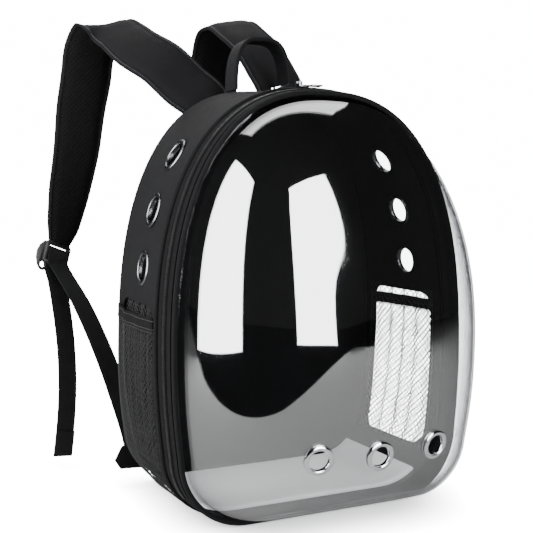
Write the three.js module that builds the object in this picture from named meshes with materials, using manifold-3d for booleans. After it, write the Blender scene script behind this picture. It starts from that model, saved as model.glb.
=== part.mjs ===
// A bubble pet carrier backpack: a fabric body with a clear dome zipped to its front.
// Millimetres, +Z up. The dome faces -Y and the straps stand behind, towards +Y.
import * as THREE from 'three';
import * as BufferGeometryUtils from 'three/addons/utils/BufferGeometryUtils.js';
import Module from 'manifold-3d';

const wasm = await Module();
wasm.setup();

// Body, seen from the front
const halfWidth = 162;
const height = 420;
const shoulderHeight = 156;
const archPower = 2.46;
const baseHalfWidth = 156;
const cornerRadius = 65;

// Body, seen from the side
const bandDepth = 32;
const topDepth = 164;
const baseDepth = 184;
const backRise = 22;
const frontFlare = 11;
const backFlare = 4;
const wall = 3;
const topSeamHeight = 388;
const gap = 0.3;
const seat = 0.6;

// Clear dome
const domeBaseDepth = 90;
const domeTopDepth = 168;
const domeCentre = 82;
const domeWall = 2;
const domeSidePower = 3.6;
const domeTopPower = 1.7;
const domeBasePower = 3.5;
const domeFrontPower = 1.56;
const domeBlend = 0.08;
const flangeWidth = 5.8;

// Edges and zipper
const pipingRadius = 2.75;
const backPipingRadius = 2.5;
const domePipingOut = 4.6;
const tapeThickness = 1.4;
const coilRadius = 1.4;
const coilStart = 0.05;
const panelThickness = 11;
const panelBulge = 5;
const matThickness = 4;
const matEdgeHeight = 22;

// Metal vent rings
const sideVentHole = 28;
const sideVentRim = 37;
const sideVentHeights = [354, 300, 243];
const sideVentAlong = 0.41;
const domeVentHole = 19.5;
const domeVentRim = 29;
const domeVentHeight = 78;
const domeVentSpacing = 64;
const ventBarrel = 1.2;
const ventStandOut = 1.3;
const ringSides = 12;
const ringGrip = 1.6;

// Mesh side windows and pockets
const windowBottom = 36;
const windowTop = 208;
const windowMargin = 16;
const windowRound = 0.14;
const pocketBottom = 18;
const pocketTop = 199;
const pocketBandHeight = 13;
const pocketBulge = 11;
const pocketMouth = 8;
const netThickness = 1.2;
const netOverlap = 6;
const pocketBandThickness = 1.6;
const pocketColumns = [0.03, 0.14, 0.35, 0.65, 0.86, 0.97];

// Straps
const strapWidth = 62;
const strapThickness = 12;
const strapReach = 147;
const strapTop = 535;
const strapSpread = 195;
const webbingWidth = 25;
const webbingThickness = 1.8;
const webbingBow = 9;
const webbingStandOff = 3.7;
const tailSway = 15;
const tailClearance = 12;
const lockThickness = 5;
const lockHeight = 28;
const lockRail = 4.5;
const anchorWidth = 44;
const anchorHeight = 36;
const anchorThickness = 3;

// Grab handle
const handleSpan = 68;
const handleLean = 4;
const handleHeight = 58;
const handleWidth = 28;
const handleThickness = 4.5;
const handleSetback = 17;
const handleSeat = 0.4;

// Zipper sliders and pull
const sliderLength = 13;
const sliderWidth = 9;
const sliderHeight = 1.8;
const sliderPlace = -17;
const pullLength = 33;
const pullWidth = 9;
const pullThickness = 1.6;
const earOverPin = 0.6;
const pullRest = 2.4;
const sliderSeat = 0.2;
const pinRadius = 0.8;
const pinClearance = 0.3;
const eyeRadius = 1.7;
const eyeWidth = 4.4;

// Worked out from the sizes above
const lift = domePipingOut + pipingRadius + 0.05;
const flangeThickness = domeWall;
const seamShare = 0.00015;
const tapeFront = new THREE.Vector2(flangeWidth + gap + tapeThickness / 2, flangeThickness / 3);
const frontPipingOut = frontFlare + 0.5;
const frontPipingDepth = bandDepth - gap - pipingRadius;
const tapeBack = new THREE.Vector2(frontFlare - 0.8, frontPipingDepth - pipingRadius - gap);
const bandDrop = frontPipingOut + pipingRadius - lift;

const blackCloth = { color: 0x1b1b1d, roughness: 0.85, metalness: 0 };
const blackTrim = { color: 0x141416, roughness: 0.7, metalness: 0 };
const clearPlastic = { color: 0xdfe3e6, roughness: 0.08, metalness: 0 };
const paleMat = { color: 0xd9dadb, roughness: 0.6, metalness: 0 };
const chrome = { color: 0xc9cbcd, roughness: 0.2, metalness: 1 };
const darkNickel = { color: 0x8b8b8e, roughness: 0.25, metalness: 1 };
const blackNet = { color: 0x2a2a2c, roughness: 0.9, metalness: 0 };
const blackPlastic = { color: 0x101011, roughness: 0.45, metalness: 0 };

const bag = new THREE.Group();
bag.name = 'bag';

function addPart(name, geometry, look) {
  const mesh = new THREE.Mesh(geometry, new THREE.MeshStandardMaterial(look));
  mesh.name = name;
  bag.add(mesh);
  return mesh;
}

// Closed solids from rows of points

function facingOut(geometry) {
  const position = geometry.attributes.position;
  const index = geometry.index;
  const [a, b, c] = [0, 1, 2].map(() => new THREE.Vector3());
  let volume = 0;
  for (let i = 0; i < index.count; i += 3) {
    a.fromBufferAttribute(position, index.getX(i));
    b.fromBufferAttribute(position, index.getX(i + 1));
    c.fromBufferAttribute(position, index.getX(i + 2));
    volume += a.dot(b.cross(c));
  }
  if (volume < 0) {
    index.array.reverse();
  }
  return geometry;
}

// Triangles that close one end of a loft, seen along the loop's own normal
function capFaces(loop) {
  const normal = new THREE.Vector3();
  loop.forEach((p, i) => normal.add(new THREE.Vector3().crossVectors(p, loop[(i + 1) % loop.length])));
  const turn = new THREE.Quaternion().setFromUnitVectors(normal.normalize(), new THREE.Vector3(0, 0, 1));
  const flat = loop.map((p) => p.clone().applyQuaternion(turn)).map((p) => new THREE.Vector2(p.x, p.y));
  return THREE.ShapeUtils.triangulateShape(flat, []).map(([i, j, k]) => {
    const area = THREE.ShapeUtils.area([flat[i], flat[j], flat[k]]);
    return area > 0 ? [i, j, k] : [i, k, j];
  });
}

function loft(rows, closed = false) {
  const count = rows[0].length;
  const faces = [];
  const spans = closed ? rows.length : rows.length - 1;
  for (let i = 0; i < spans; i++) {
    const here = i * count;
    const next = ((i + 1) % rows.length) * count;
    for (let j = 0; j < count; j++) {
      const k = (j + 1) % count;
      faces.push(here + j, here + k, next + k, here + j, next + k, next + j);
    }
  }
  if (!closed) {
    const end = (rows.length - 1) * count;
    capFaces(rows[0]).forEach(([i, j, k]) => faces.push(i, k, j));
    capFaces(rows[rows.length - 1]).forEach(([i, j, k]) => faces.push(end + i, end + j, end + k));
  }
  const geometry = new THREE.BufferGeometry();
  const positions = rows.flat().flatMap((p) => p.toArray());
  geometry.setAttribute('position', new THREE.Float32BufferAttribute(positions, 3));
  geometry.setIndex(faces);
  return facingOut(geometry);
}

function solidOf(geometry) {
  const bare = geometry.clone();
  bare.deleteAttribute('normal');
  bare.deleteAttribute('uv');
  const welded = BufferGeometryUtils.mergeVertices(bare);
  return new wasm.Manifold(new wasm.Mesh({
    numProp: 3,
    vertProperties: new Float32Array(welded.attributes.position.array),
    triVerts: new Uint32Array(welded.index.array),
  }));
}

function geometryOf(solid) {
  const mesh = solid.getMesh();
  const geometry = new THREE.BufferGeometry();
  geometry.setAttribute('position', new THREE.BufferAttribute(mesh.vertProperties, 3));
  geometry.setIndex(new THREE.BufferAttribute(mesh.triVerts, 1));
  return geometry;
}

// The body's outline: a loop of corners from the middle of the base, up the right side and over

function rightHalf() {
  const points = [{ x: 0, z: 0 }];
  const arc = 5;
  for (let i = 0; i <= arc; i++) {
    const angle = (i / arc) * Math.PI / 2;
    const x = baseHalfWidth - cornerRadius * (1 - Math.sin(angle));
    points.push({ x, z: cornerRadius * (1 - Math.cos(angle)) });
  }
  const side = 3;
  for (let i = 1; i <= side; i++) {
    const up = i / side;
    const z = cornerRadius + (shoulderHeight - cornerRadius) * up;
    points.push({ x: halfWidth + (baseHalfWidth - halfWidth) * (1 - up) ** 2, z });
  }
  const arch = 12;
  for (let i = 1; i <= arch; i++) {
    const angle = (i / arch) * Math.PI / 2;
    const x = halfWidth * Math.max(Math.cos(angle), 0) ** (2 / archPower);
    points.push({ x, z: shoulderHeight + (height - shoulderHeight) * Math.sin(angle) ** (2 / archPower) });
  }
  points[points.length - 1].x = 0;
  return points;
}

function outlineCorners() {
  const right = rightHalf();
  const left = right.slice(1, -1).reverse().map(({ x, z }) => ({ x: -x, z }));
  const loop = [...right, ...left];
  let run = 0;
  loop.forEach((p, i) => {
    const next = loop[(i + 1) % loop.length];
    const last = loop[(i + loop.length - 1) % loop.length];
    const normal = new THREE.Vector2(next.z - last.z, last.x - next.x).normalize();
    p.nx = p.z === 0 ? 0 : normal.x;
    p.nz = p.z === 0 ? -1 : normal.y;
    p.low = Math.max(1 - p.z / cornerRadius, 0) ** 2;
    p.rise = (p.z / height) ** 2;
    p.run = run;
    run += Math.hypot(next.x - p.x, next.z - p.z);
  });
  loop.forEach((p) => { p.share = p.run / run; });
  return { loop, length: run };
}

const { loop: corners, length: outlineLength } = outlineCorners();
const shares = corners.map((p) => p.share);
const baseEnd = corners[1].share;

// A place on the outline, by its share of the way round
function outlineAt(share) {
  const wrapped = ((share % 1) + 1) % 1;
  let i = corners.length - 1;
  while (corners[i].share > wrapped) {
    i -= 1;
  }
  const a = corners[i];
  const b = corners[(i + 1) % corners.length];
  const end = i === corners.length - 1 ? 1 : b.share;
  const t = (wrapped - a.share) / (end - a.share);
  const mix = {};
  for (const key of ['x', 'z', 'nx', 'nz', 'low', 'rise']) {
    mix[key] = THREE.MathUtils.lerp(a[key], b[key], t);
  }
  return mix;
}

function shareAtHeight(z, side) {
  let low = baseEnd;
  let high = 0.5;
  for (let i = 0; i < 40; i++) {
    const middle = (low + high) / 2;
    if (outlineAt(middle).z < z) {
      low = middle;
    } else {
      high = middle;
    }
  }
  return side > 0 ? low : 1 - low;
}

function shareAtTop(x) {
  let low = 0.3;
  let high = 0.7;
  for (let i = 0; i < 40; i++) {
    const middle = (low + high) / 2;
    if (outlineAt(middle).x > x) {
      low = middle;
    } else {
      high = middle;
    }
  }
  return low;
}

// Every outline corner between two shares, with both ends
function sharesBetween(from, to) {
  const all = [-1, 0, 1].flatMap((turn) => shares.map((s) => s + turn));
  return [from, ...all.filter((s) => s > from + 1e-6 && s < to - 1e-6), to];
}

function backDepth(z) {
  return THREE.MathUtils.lerp(baseDepth, topDepth, z / height);
}

// A point of the front band: so far out from the dome's outline, so far behind its plane
function bandPoint(share, out, back) {
  const p = outlineAt(share);
  const drop = bandDrop * p.low * THREE.MathUtils.clamp(back / frontPipingDepth, 0, 1);
  return new THREE.Vector3(p.x + p.nx * (out - drop), back, lift + p.z + p.nz * (out - drop));
}

// A point of the side wall: so far out from its outer face, at a share of the body's depth
function wallPoint(share, out, along, behind = 0) {
  const p = outlineAt(share);
  const flare = THREE.MathUtils.lerp(THREE.MathUtils.lerp(frontFlare, backFlare, along), lift, p.low);
  const z = lift + p.z + p.nz * (flare + out) + backRise * p.rise * along;
  const y = THREE.MathUtils.lerp(bandDepth, backDepth(p.z), along) + behind;
  return new THREE.Vector3(p.x + p.nx * (flare + out), y, z);
}

function circleSection(out, back, radius, sides) {
  return Array.from({ length: sides }, (_, i) => {
    const angle = ((i + 0.5) / sides) * 2 * Math.PI;
    return [out + radius * Math.cos(angle), back + radius * Math.sin(angle)];
  });
}

function bandRing(section, atShares = shares, closed = true) {
  return loft(atShares.map((s) => section.map(([out, back]) => bandPoint(s, out, back))), closed);
}

// Fabric body

function wallStrip(from, to, grow = 0) {
  const rows = sharesBetween(from, to).map((s) => [
    wallPoint(s, grow, 0),
    wallPoint(s, grow, 1),
    wallPoint(s, -wall - grow, 1),
    wallPoint(s, -wall - grow, 0),
  ]);
  return loft(rows);
}

// A cutter through the wall, a rounded rectangle in share and depth
function windowCutter(side) {
  const from = shareAtHeight(windowBottom, 1);
  const to = shareAtHeight(windowTop, 1);
  const edge = windowMargin / (topDepth - bandDepth);
  const round = [0, 30, 60, 90].map((degrees) => THREE.MathUtils.degToRad(degrees));
  const radiusShare = (to - from) * windowRound;
  const radiusDepth = edge;
  const loop = [];
  [[1, 1], [0, 1], [0, 0], [1, 0]].forEach(([far, up], quarter) => {
    const centreShare = up ? to - radiusShare : from + radiusShare;
    const centreDepth = far ? 1 - edge - radiusDepth : edge + radiusDepth;
    round.forEach((angle) => {
      const turned = angle + quarter * Math.PI / 2;
      const share = centreShare + radiusShare * Math.sin(turned);
      loop.push({ share: side > 0 ? share : 1 - share, along: centreDepth + radiusDepth * Math.cos(turned) });
    });
  });
  const rows = [-wall * 5, wall * 4].map((out) => loop.map((p) => wallPoint(p.share, out, p.along)));
  return solidOf(loft(rows));
}

// Position and facing of a vent on the side wall
function sideVentPlace(z, side) {
  const share = shareAtHeight(z, side);
  const reach = sideVentRim / 2 / outlineLength;
  const centre = wallPoint(share, -wall / 2, sideVentAlong);
  const alongWall = wallPoint(share + reach, 0, sideVentAlong).sub(wallPoint(share - reach, 0, sideVentAlong));
  const backwards = wallPoint(share, 0, sideVentAlong + 0.1).sub(wallPoint(share, 0, sideVentAlong - 0.1));
  return { centre, normal: backwards.cross(alongWall).normalize() };
}

function placed(geometry, { centre, normal }) {
  const turn = new THREE.Quaternion().setFromUnitVectors(new THREE.Vector3(0, 1, 0), normal);
  return geometry.applyQuaternion(turn).translate(centre.x, centre.y, centre.z);
}

function cylinderAt(place, radius, length) {
  return solidOf(placed(new THREE.CylinderGeometry(radius, radius, length, ringSides), place));
}

// A turned ring with rounded rims, cut back to sit on both faces of the wall that it grips
function ventRing(place, hole, rim, thickness, grownWall) {
  const half = thickness / 2 + ventStandOut;
  const round = ventStandOut * 0.6;
  const profile = [
    [hole / 2, -half],
    [rim / 2 - round, -half],
    [rim / 2, -half + round],
    [rim / 2, half - round],
    [rim / 2 - round, half],
    [hole / 2, half],
    [hole / 2, -half],
  ].map(([r, y]) => new THREE.Vector2(r, y));
  const ring = solidOf(placed(new THREE.LatheGeometry(profile, ringSides), place));
  const gripped = grownWall.subtract(cylinderAt(place, hole / 2 + ventBarrel, thickness * 8));
  return ring.subtract(gripped);
}

const gussetFrom = baseEnd + seamShare;
const gussetTo = 1 - baseEnd - seamShare;

// The gusset: a panel up each side, with its window and vents, and one over the top
function buildGusset() {
  const grown = solidOf(wallStrip(gussetFrom, gussetTo, gap));
  const [rightSeam, leftSeam] = [1, -1].map((side) => shareAtHeight(topSeamHeight, side));
  const spans = { left: [leftSeam + seamShare, gussetTo], right: [gussetFrom, rightSeam - seamShare] };
  for (const [side, word] of [[-1, 'left'], [1, 'right']]) {
    let solid = solidOf(wallStrip(...spans[word])).subtract(windowCutter(side));
    sideVentHeights.forEach((z, i) => {
      const place = sideVentPlace(z, side);
      solid = solid.subtract(cylinderAt(place, sideVentHole / 2 + ventBarrel + gap, wall * 6));
      const ring = ventRing(place, sideVentHole, sideVentRim, wall + ringGrip, grown);
      addPart(`side_vent_${word}_${i + 1}`, geometryOf(ring), darkNickel);
    });
    addPart(`side_wall_${word}`, geometryOf(solid), blackCloth);
  }
  addPart('top_wall', wallStrip(rightSeam + seamShare, leftSeam - seamShare), blackCloth);
}

function buildBasePanel() {
  addPart('base_panel', wallStrip(-baseEnd + seamShare, baseEnd - seamShare), blackCloth);
}

function buildBackPanel() {
  const edge = -2 * backPipingRadius - seat;
  const loops = [
    [edge - 4, -panelThickness + panelBulge],
    [edge, -panelThickness + panelBulge + 3],
    [edge, panelBulge - 3],
    [edge - 8, panelBulge],
  ];
  const rows = loops.map(([out, behind]) => shares.map((s) => wallPoint(s, out, 1, behind)));
  addPart('back_panel', loft(rows), blackCloth);
}

function buildBackPiping() {
  const section = circleSection(-backPipingRadius, backPipingRadius + gap, backPipingRadius, 5);
  const rows = shares.map((s) => section.map(([o, behind]) => wallPoint(s, o, 1, behind)));
  addPart('back_piping', loft(rows, true), blackTrim);
}

function buildFloorMat() {
  const reach = shareAtHeight(matEdgeHeight, 1);
  const bottom = -wall - seat;
  const front = 1 / (baseDepth - bandDepth);
  const back = 1 - (panelThickness - panelBulge + gap) / (topDepth - bandDepth);
  const rows = sharesBetween(-reach, reach).map((s) => [
    wallPoint(s, bottom, back),
    wallPoint(s, bottom, front),
    wallPoint(s, bottom - matThickness, front),
    wallPoint(s, bottom - matThickness, back),
  ]);
  addPart('floor_mat', loft(rows), paleMat);
}

// Mesh window and pocket on each side

function sideShares(bottom, top, side) {
  const list = sharesBetween(shareAtHeight(bottom, 1), shareAtHeight(top, 1));
  return side > 0 ? list : list.map((s) => 1 - s).reverse();
}

// How far the pocket stands off the wall, by depth and by height in the pocket
function pocketStandOff(along, up) {
  const [first, last] = [pocketColumns[0], pocketColumns[pocketColumns.length - 1]];
  const across = Math.sin(Math.PI * Math.min((along - first) / (last - first), 1)) ** 0.6;
  const body = pocketBulge * Math.sin(Math.PI * (0.006 + 0.75 * up)) ** 0.6;
  return gap + Math.max(across, 0) * THREE.MathUtils.lerp(body, pocketMouth, up ** 3);
}

function pocketRows(bottom, top, thickness, side) {
  const list = sideShares(bottom, top, side);
  const full = pocketTop - pocketBottom;
  return list.map((s) => {
    const up = THREE.MathUtils.clamp((outlineAt(s).z - pocketBottom) / full, 0, 1);
    const inner = pocketColumns.map((along) => wallPoint(s, pocketStandOff(along, up), along));
    const outer = pocketColumns.map((along) => wallPoint(s, pocketStandOff(along, up) + thickness, along));
    return [...inner, ...outer.reverse()];
  });
}

function buildSideNets(side, word) {
  const edge = (windowMargin - netOverlap) / (topDepth - bandDepth);
  const list = sideShares(windowBottom - netOverlap, windowTop + netOverlap, side);
  const rows = list.map((s) => [
    wallPoint(s, -wall - seat, 1 - edge),
    wallPoint(s, -wall - seat, edge),
    wallPoint(s, -wall - seat - netThickness, edge),
    wallPoint(s, -wall - seat - netThickness, 1 - edge),
  ]);
  addPart(`window_net_${word}`, loft(rows), blackNet);
  const bandBottom = pocketTop - pocketBandHeight;
  const net = pocketRows(pocketBottom, bandBottom - gap, netThickness, side);
  addPart(`pocket_net_${word}`, loft(net), blackNet);
  const band = pocketRows(bandBottom, pocketTop, pocketBandThickness, side);
  addPart(`pocket_band_${word}`, loft(band), blackTrim);
}

// Front band: pipings, zipper tape and coil

function buildFrontBand() {
  const dome = circleSection(domePipingOut, -gap - pipingRadius, pipingRadius, 5);
  addPart('dome_piping', bandRing(dome), blackTrim);
  const front = circleSection(frontPipingOut, frontPipingDepth, pipingRadius, 5);
  addPart('front_piping', bandRing(front), blackTrim);
  const slope = tapeBack.clone().sub(tapeFront).normalize();
  const across = new THREE.Vector2(slope.y, -slope.x).multiplyScalar(tapeThickness / 2);
  const tape = [
    tapeFront.clone().add(across),
    tapeBack.clone().add(across),
    tapeBack.clone().sub(across),
    tapeFront.clone().sub(across),
  ].map((p) => p.toArray());
  addPart('zipper_tape', bandRing(tape), blackTrim);
  const centre = coilCentre();
  const coil = circleSection(centre.x, centre.y, coilRadius, 5);
  const run = sharesBetween(gussetFrom + coilStart, gussetTo - coilStart);
  addPart('zipper_coil', bandRing(coil, run, false), blackPlastic);
}

function coilCentre() {
  const slope = tapeBack.clone().sub(tapeFront).normalize();
  const across = new THREE.Vector2(slope.y, -slope.x);
  return tapeFront.clone().lerp(tapeBack, 0.5).addScaledVector(across, tapeThickness / 2 + gap + coilRadius);
}

// Clear dome

// Where a straight line from the dome's centre towards an outline corner meets a level of the bubble
function domeReach(p, level) {
  const across = Math.abs(p.x) / halfWidth;
  const above = p.z > domeCentre;
  const upright = Math.abs(p.z - domeCentre) / (above ? height - domeCentre : domeCentre);
  const soft = (Math.hypot(upright, domeBlend) - domeBlend) / (Math.hypot(1, domeBlend) - domeBlend);
  const power = above ? domeTopPower : domeBasePower;
  let low = 0;
  let high = 2;
  for (let i = 0; i < 40; i++) {
    const middle = (low + high) / 2;
    if ((middle * across) ** domeSidePower + (middle * soft) ** power < level) {
      low = middle;
    } else {
      high = middle;
    }
  }
  return low;
}

function domeLoop(angle, inset) {
  const forward = Math.sin(angle) ** (2 / domeFrontPower);
  return corners.map((p) => {
    const shrink = domeReach(p, Math.cos(angle) ** 2) / domeReach(p, 1);
    const x = (p.x - p.nx * inset) * shrink;
    const z = domeCentre + (p.z - p.nz * inset - domeCentre) * shrink;
    const depth = THREE.MathUtils.lerp(domeBaseDepth, domeTopDepth, z / height) - inset;
    return new THREE.Vector3(x, -depth * forward, lift + z);
  });
}

function domeShell(grow = 0) {
  const steps = 9;
  const angles = Array.from({ length: steps }, (_, i) => (i / steps) * Math.PI / 2);
  const loopAt = (out, back) => shares.map((s) => bandPoint(s, out, back));
  const inner = angles.map((angle) => domeLoop(angle, domeWall + grow)).reverse();
  const outer = angles.map((angle) => domeLoop(angle, -grow));
  const flange = [
    loopAt(-domeWall - grow, flangeThickness),
    loopAt(flangeWidth, flangeThickness),
    loopAt(flangeWidth, 0),
  ];
  return solidOf(loft([...inner, ...flange, ...outer]));
}

// The dome's wall nearest to a place seen from the front
function domeVentPlace(x) {
  const wanted = new THREE.Vector2(x, lift + domeVentHeight);
  let best = null;
  for (let i = 0; i < 90; i++) {
    const angle = (i / 90) * Math.PI / 2;
    const loop = domeLoop(angle, domeWall / 2);
    loop.forEach((p, j) => {
      const next = loop[(j + 1) % loop.length];
      for (let t = 0; t < 1; t += 1 / 16) {
        const point = p.clone().lerp(next, t);
        const miss = Math.hypot(point.x - wanted.x, point.z - wanted.y);
        if (!best || miss < best.miss) {
          best = { miss, point, angle, along: next.clone().sub(p) };
        }
      }
    });
  }
  const ahead = domeLoop(best.angle + 0.05, domeWall / 2);
  const behind = domeLoop(best.angle - 0.05, domeWall / 2);
  const nearest = (loop) => loop.reduce((a, b) => (a.distanceTo(best.point) < b.distanceTo(best.point) ? a : b));
  const outward = best.along.cross(nearest(ahead).sub(nearest(behind))).normalize();
  return { centre: best.point, normal: outward.y > 0 ? outward.negate() : outward };
}

function buildDome() {
  let solid = domeShell();
  const grown = domeShell(gap);
  [-domeVentSpacing, 0, domeVentSpacing].forEach((x, i) => {
    const place = domeVentPlace(x);
    solid = solid.subtract(cylinderAt(place, domeVentHole / 2 + ventBarrel + gap, domeWall * 8));
    const ring = ventRing(place, domeVentHole, domeVentRim, domeWall + ringGrip, grown);
    addPart(`dome_vent_${i + 1}`, geometryOf(ring), chrome);
  });
  addPart('dome', geometryOf(solid), clearPlastic);
}

// Ribbons: straps, webbing and handle

function ribbonSection(width, thickness) {
  const [a, b] = [width / 2, thickness / 2];
  return [[a, b * 0.4], [a * 0.86, b], [-a * 0.86, b], [-a, b * 0.4],
    [-a, -b * 0.4], [-a * 0.86, -b], [a * 0.86, -b], [a, -b * 0.4]];
}

// Frames along a centre line, each with the direction along, across and off the face
function ribbonFrames(points, acrosses, count) {
  const line = new THREE.CatmullRomCurve3(points);
  const sideways = new THREE.CatmullRomCurve3(acrosses);
  return Array.from({ length: count }, (_, i) => {
    const t = i / (count - 1);
    const along = line.getTangent(t);
    const across = sideways.getPoint(t);
    across.addScaledVector(along, -across.dot(along)).normalize();
    const off = new THREE.Vector3().crossVectors(across, along);
    return { t, centre: line.getPoint(t), along, across, off };
  });
}

function ribbon(frames, widthAt, thickness) {
  return loft(frames.map((f) => ribbonSection(widthAt(f.t), thickness).map(([a, b]) => (
    f.centre.clone().addScaledVector(f.across, a).addScaledVector(f.off, b)
  ))));
}

// Where the straps run, as shares of their spread, reach and top height, with the way they face
const leftStrapRun = [
  { side: -0.25, back: 0, up: 0.75, swing: 0, bank: 12, width: 1 },
  { side: -0.29, back: 0.012, up: 0.82, swing: 0, bank: 26, width: 1 },
  { side: -0.4, back: 0.091, up: 0.86, swing: 3, bank: 34, width: 1 },
  { side: -0.52, back: 0.175, up: 0.907, swing: 5, bank: 33, width: 1 },
  { side: -0.63, back: 0.33, up: 0.943, swing: 12, bank: 27, width: 1 },
  { side: -0.69, back: 0.517, up: 0.98, swing: 14, bank: 17, width: 1 },
  { side: -0.74, back: 0.666, up: 1, swing: 16, bank: 12, width: 1 },
  { side: -0.78, back: 0.786, up: 0.99, swing: 16, bank: 8, width: 1 },
  { side: -0.82, back: 0.846, up: 0.956, swing: 14, bank: 3, width: 1 },
  { side: -0.84, back: 0.886, up: 0.892, swing: 12, bank: 0, width: 1 },
  { side: -0.872, back: 0.906, up: 0.821, swing: 8, bank: 0, width: 0.97 },
  { side: -0.905, back: 0.896, up: 0.73, swing: 2, bank: 0, width: 0.92 },
  { side: -0.962, back: 0.876, up: 0.63, swing: -6, bank: 0, width: 0.84 },
  { side: -1.012, back: 0.836, up: 0.552, swing: -14, bank: 0, width: 0.68 },
  { side: -1.045, back: 0.806, up: 0.514, swing: -18, bank: 0, width: 0.46 },
];
const rightStrapRun = [
  { side: 0.24, back: 0, up: 0.76, swing: 0, bank: 0, width: 1 },
  { side: 0.215, back: 0.012, up: 0.855, swing: 0, bank: 2, width: 1.03 },
  { side: 0.17, back: 0.091, up: 0.907, swing: 0, bank: 6, width: 1.05 },
  { side: 0.125, back: 0.215, up: 0.958, swing: 0, bank: 7, width: 1.05 },
  { side: 0.084, back: 0.386, up: 0.997, swing: 3, bank: 8, width: 1.05 },
  { side: 0.062, back: 0.577, up: 1.026, swing: 6, bank: 10, width: 1.02 },
  { side: 0.051, back: 0.746, up: 1.019, swing: 9, bank: 10, width: 1 },
  { side: 0.046, back: 0.856, up: 0.978, swing: 10, bank: 5, width: 1 },
  { side: 0.051, back: 0.916, up: 0.911, swing: 12, bank: 2, width: 1 },
  { side: 0.067, back: 0.936, up: 0.812, swing: 13, bank: 1, width: 0.98 },
  { side: 0.123, back: 0.906, up: 0.713, swing: 13, bank: 0, width: 0.92 },
  { side: 0.22, back: 0.856, up: 0.614, swing: 13, bank: 0, width: 0.82 },
  { side: 0.3, back: 0.816, up: 0.545, swing: 11, bank: 0, width: 0.7 },
  { side: 0.33, back: 0.791, up: 0.51, swing: 12, bank: 0, width: 0.46 },
];

// Depth of a strap's middle where it lies on the back panel
function strapSeat(z) {
  const upright = Math.min((z - lift) * height / (height + backRise), height);
  return backDepth(upright) + panelBulge + seat + strapThickness / 2;
}

function strapFrames(run) {
  const points = run.map((r) => {
    const depth = strapSeat(run[0].up * strapTop) + r.back * strapReach;
    return new THREE.Vector3(r.side * strapSpread, depth, r.up * strapTop);
  });
  const acrosses = run.map((r) => {
    const swing = THREE.MathUtils.degToRad(r.swing);
    const bank = THREE.MathUtils.degToRad(r.bank);
    const level = Math.cos(bank);
    return new THREE.Vector3(level * Math.cos(swing), -level * Math.sin(swing), Math.sin(bank));
  });
  return ribbonFrames(points, acrosses, 20);
}

function strapWidthAt(run, t) {
  const place = t * (run.length - 1);
  const i = Math.min(Math.floor(place), run.length - 2);
  return strapWidth * THREE.MathUtils.lerp(run[i].width, run[i + 1].width, place - i);
}

// Ladder lock: a plastic frame with three bars, hung on the strap's end
function lockShape() {
  const w = webbingWidth / 2 + lockRail;
  const h = lockHeight / 2;
  const shape = new THREE.Shape();
  shape.moveTo(-w, -h + 3);
  shape.lineTo(-w + 3, -h);
  shape.lineTo(w - 3, -h);
  shape.lineTo(w, -h + 3);
  shape.lineTo(w, h - 3);
  shape.lineTo(w - 3, h);
  shape.lineTo(-w + 3, h);
  shape.lineTo(-w, h - 3);
  const slotHeight = (lockHeight - 3 * lockRail) / 2;
  for (const bottom of [-h + lockRail, lockRail / 2]) {
    const slot = new THREE.Path();
    slot.moveTo(-webbingWidth / 2, bottom);
    slot.lineTo(-webbingWidth / 2, bottom + slotHeight);
    slot.lineTo(webbingWidth / 2, bottom + slotHeight);
    slot.lineTo(webbingWidth / 2, bottom);
    shape.holes.push(slot);
  }
  return shape;
}

function buildLock(end, word) {
  const frame = new THREE.ExtrudeGeometry(lockShape(), { depth: lockThickness, bevelEnabled: false });
  const up = end.along.clone().negate();
  const off = new THREE.Vector3().crossVectors(end.across, up);
  const centre = end.centre.clone().addScaledVector(end.along, lockHeight / 2 + gap);
  const basis = new THREE.Matrix4().makeBasis(end.across, up, off);
  frame.translate(0, 0, -lockThickness / 2).applyMatrix4(basis).translate(centre.x, centre.y, centre.z);
  const tabForm = { depth: lockThickness * 0.5, bevelEnabled: false, curveSegments: 6 };
  const tab = new THREE.ExtrudeGeometry(tabShape(), tabForm);
  tab.translate(0, 0, -lockThickness / 4).applyMatrix4(basis).translate(centre.x, centre.y, centre.z);
  addPart(`strap_lock_${word}`, geometryOf(solidOf(frame).add(solidOf(tab))), blackPlastic);
  return { ...end, centre, off };
}

// Thumb tab beside the lock's lower half, in shares of the lock's height, with a hole near its tip
const thumbTab = [[-0.43, 0.5], [-0.68, 0.42], [-0.86, 0.2], [-0.94, -0.11], [-0.9, -0.42], [-0.78, -0.68],
  [-0.63, -0.84], [-0.47, -0.87], [-0.33, -0.78], [-0.33, -0.46]];
const thumbHole = [-0.55, -0.62, 0.13];

function tabShape() {
  const shape = new THREE.Shape(thumbTab.map(([x, y]) => new THREE.Vector2(x * lockHeight, y * lockHeight)));
  const hole = new THREE.Path();
  const [x, y, radius] = thumbHole.map((share) => share * lockHeight);
  hole.absarc(x, y, radius, 0, 2 * Math.PI, true);
  shape.holes.push(hole);
  return shape;
}

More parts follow.
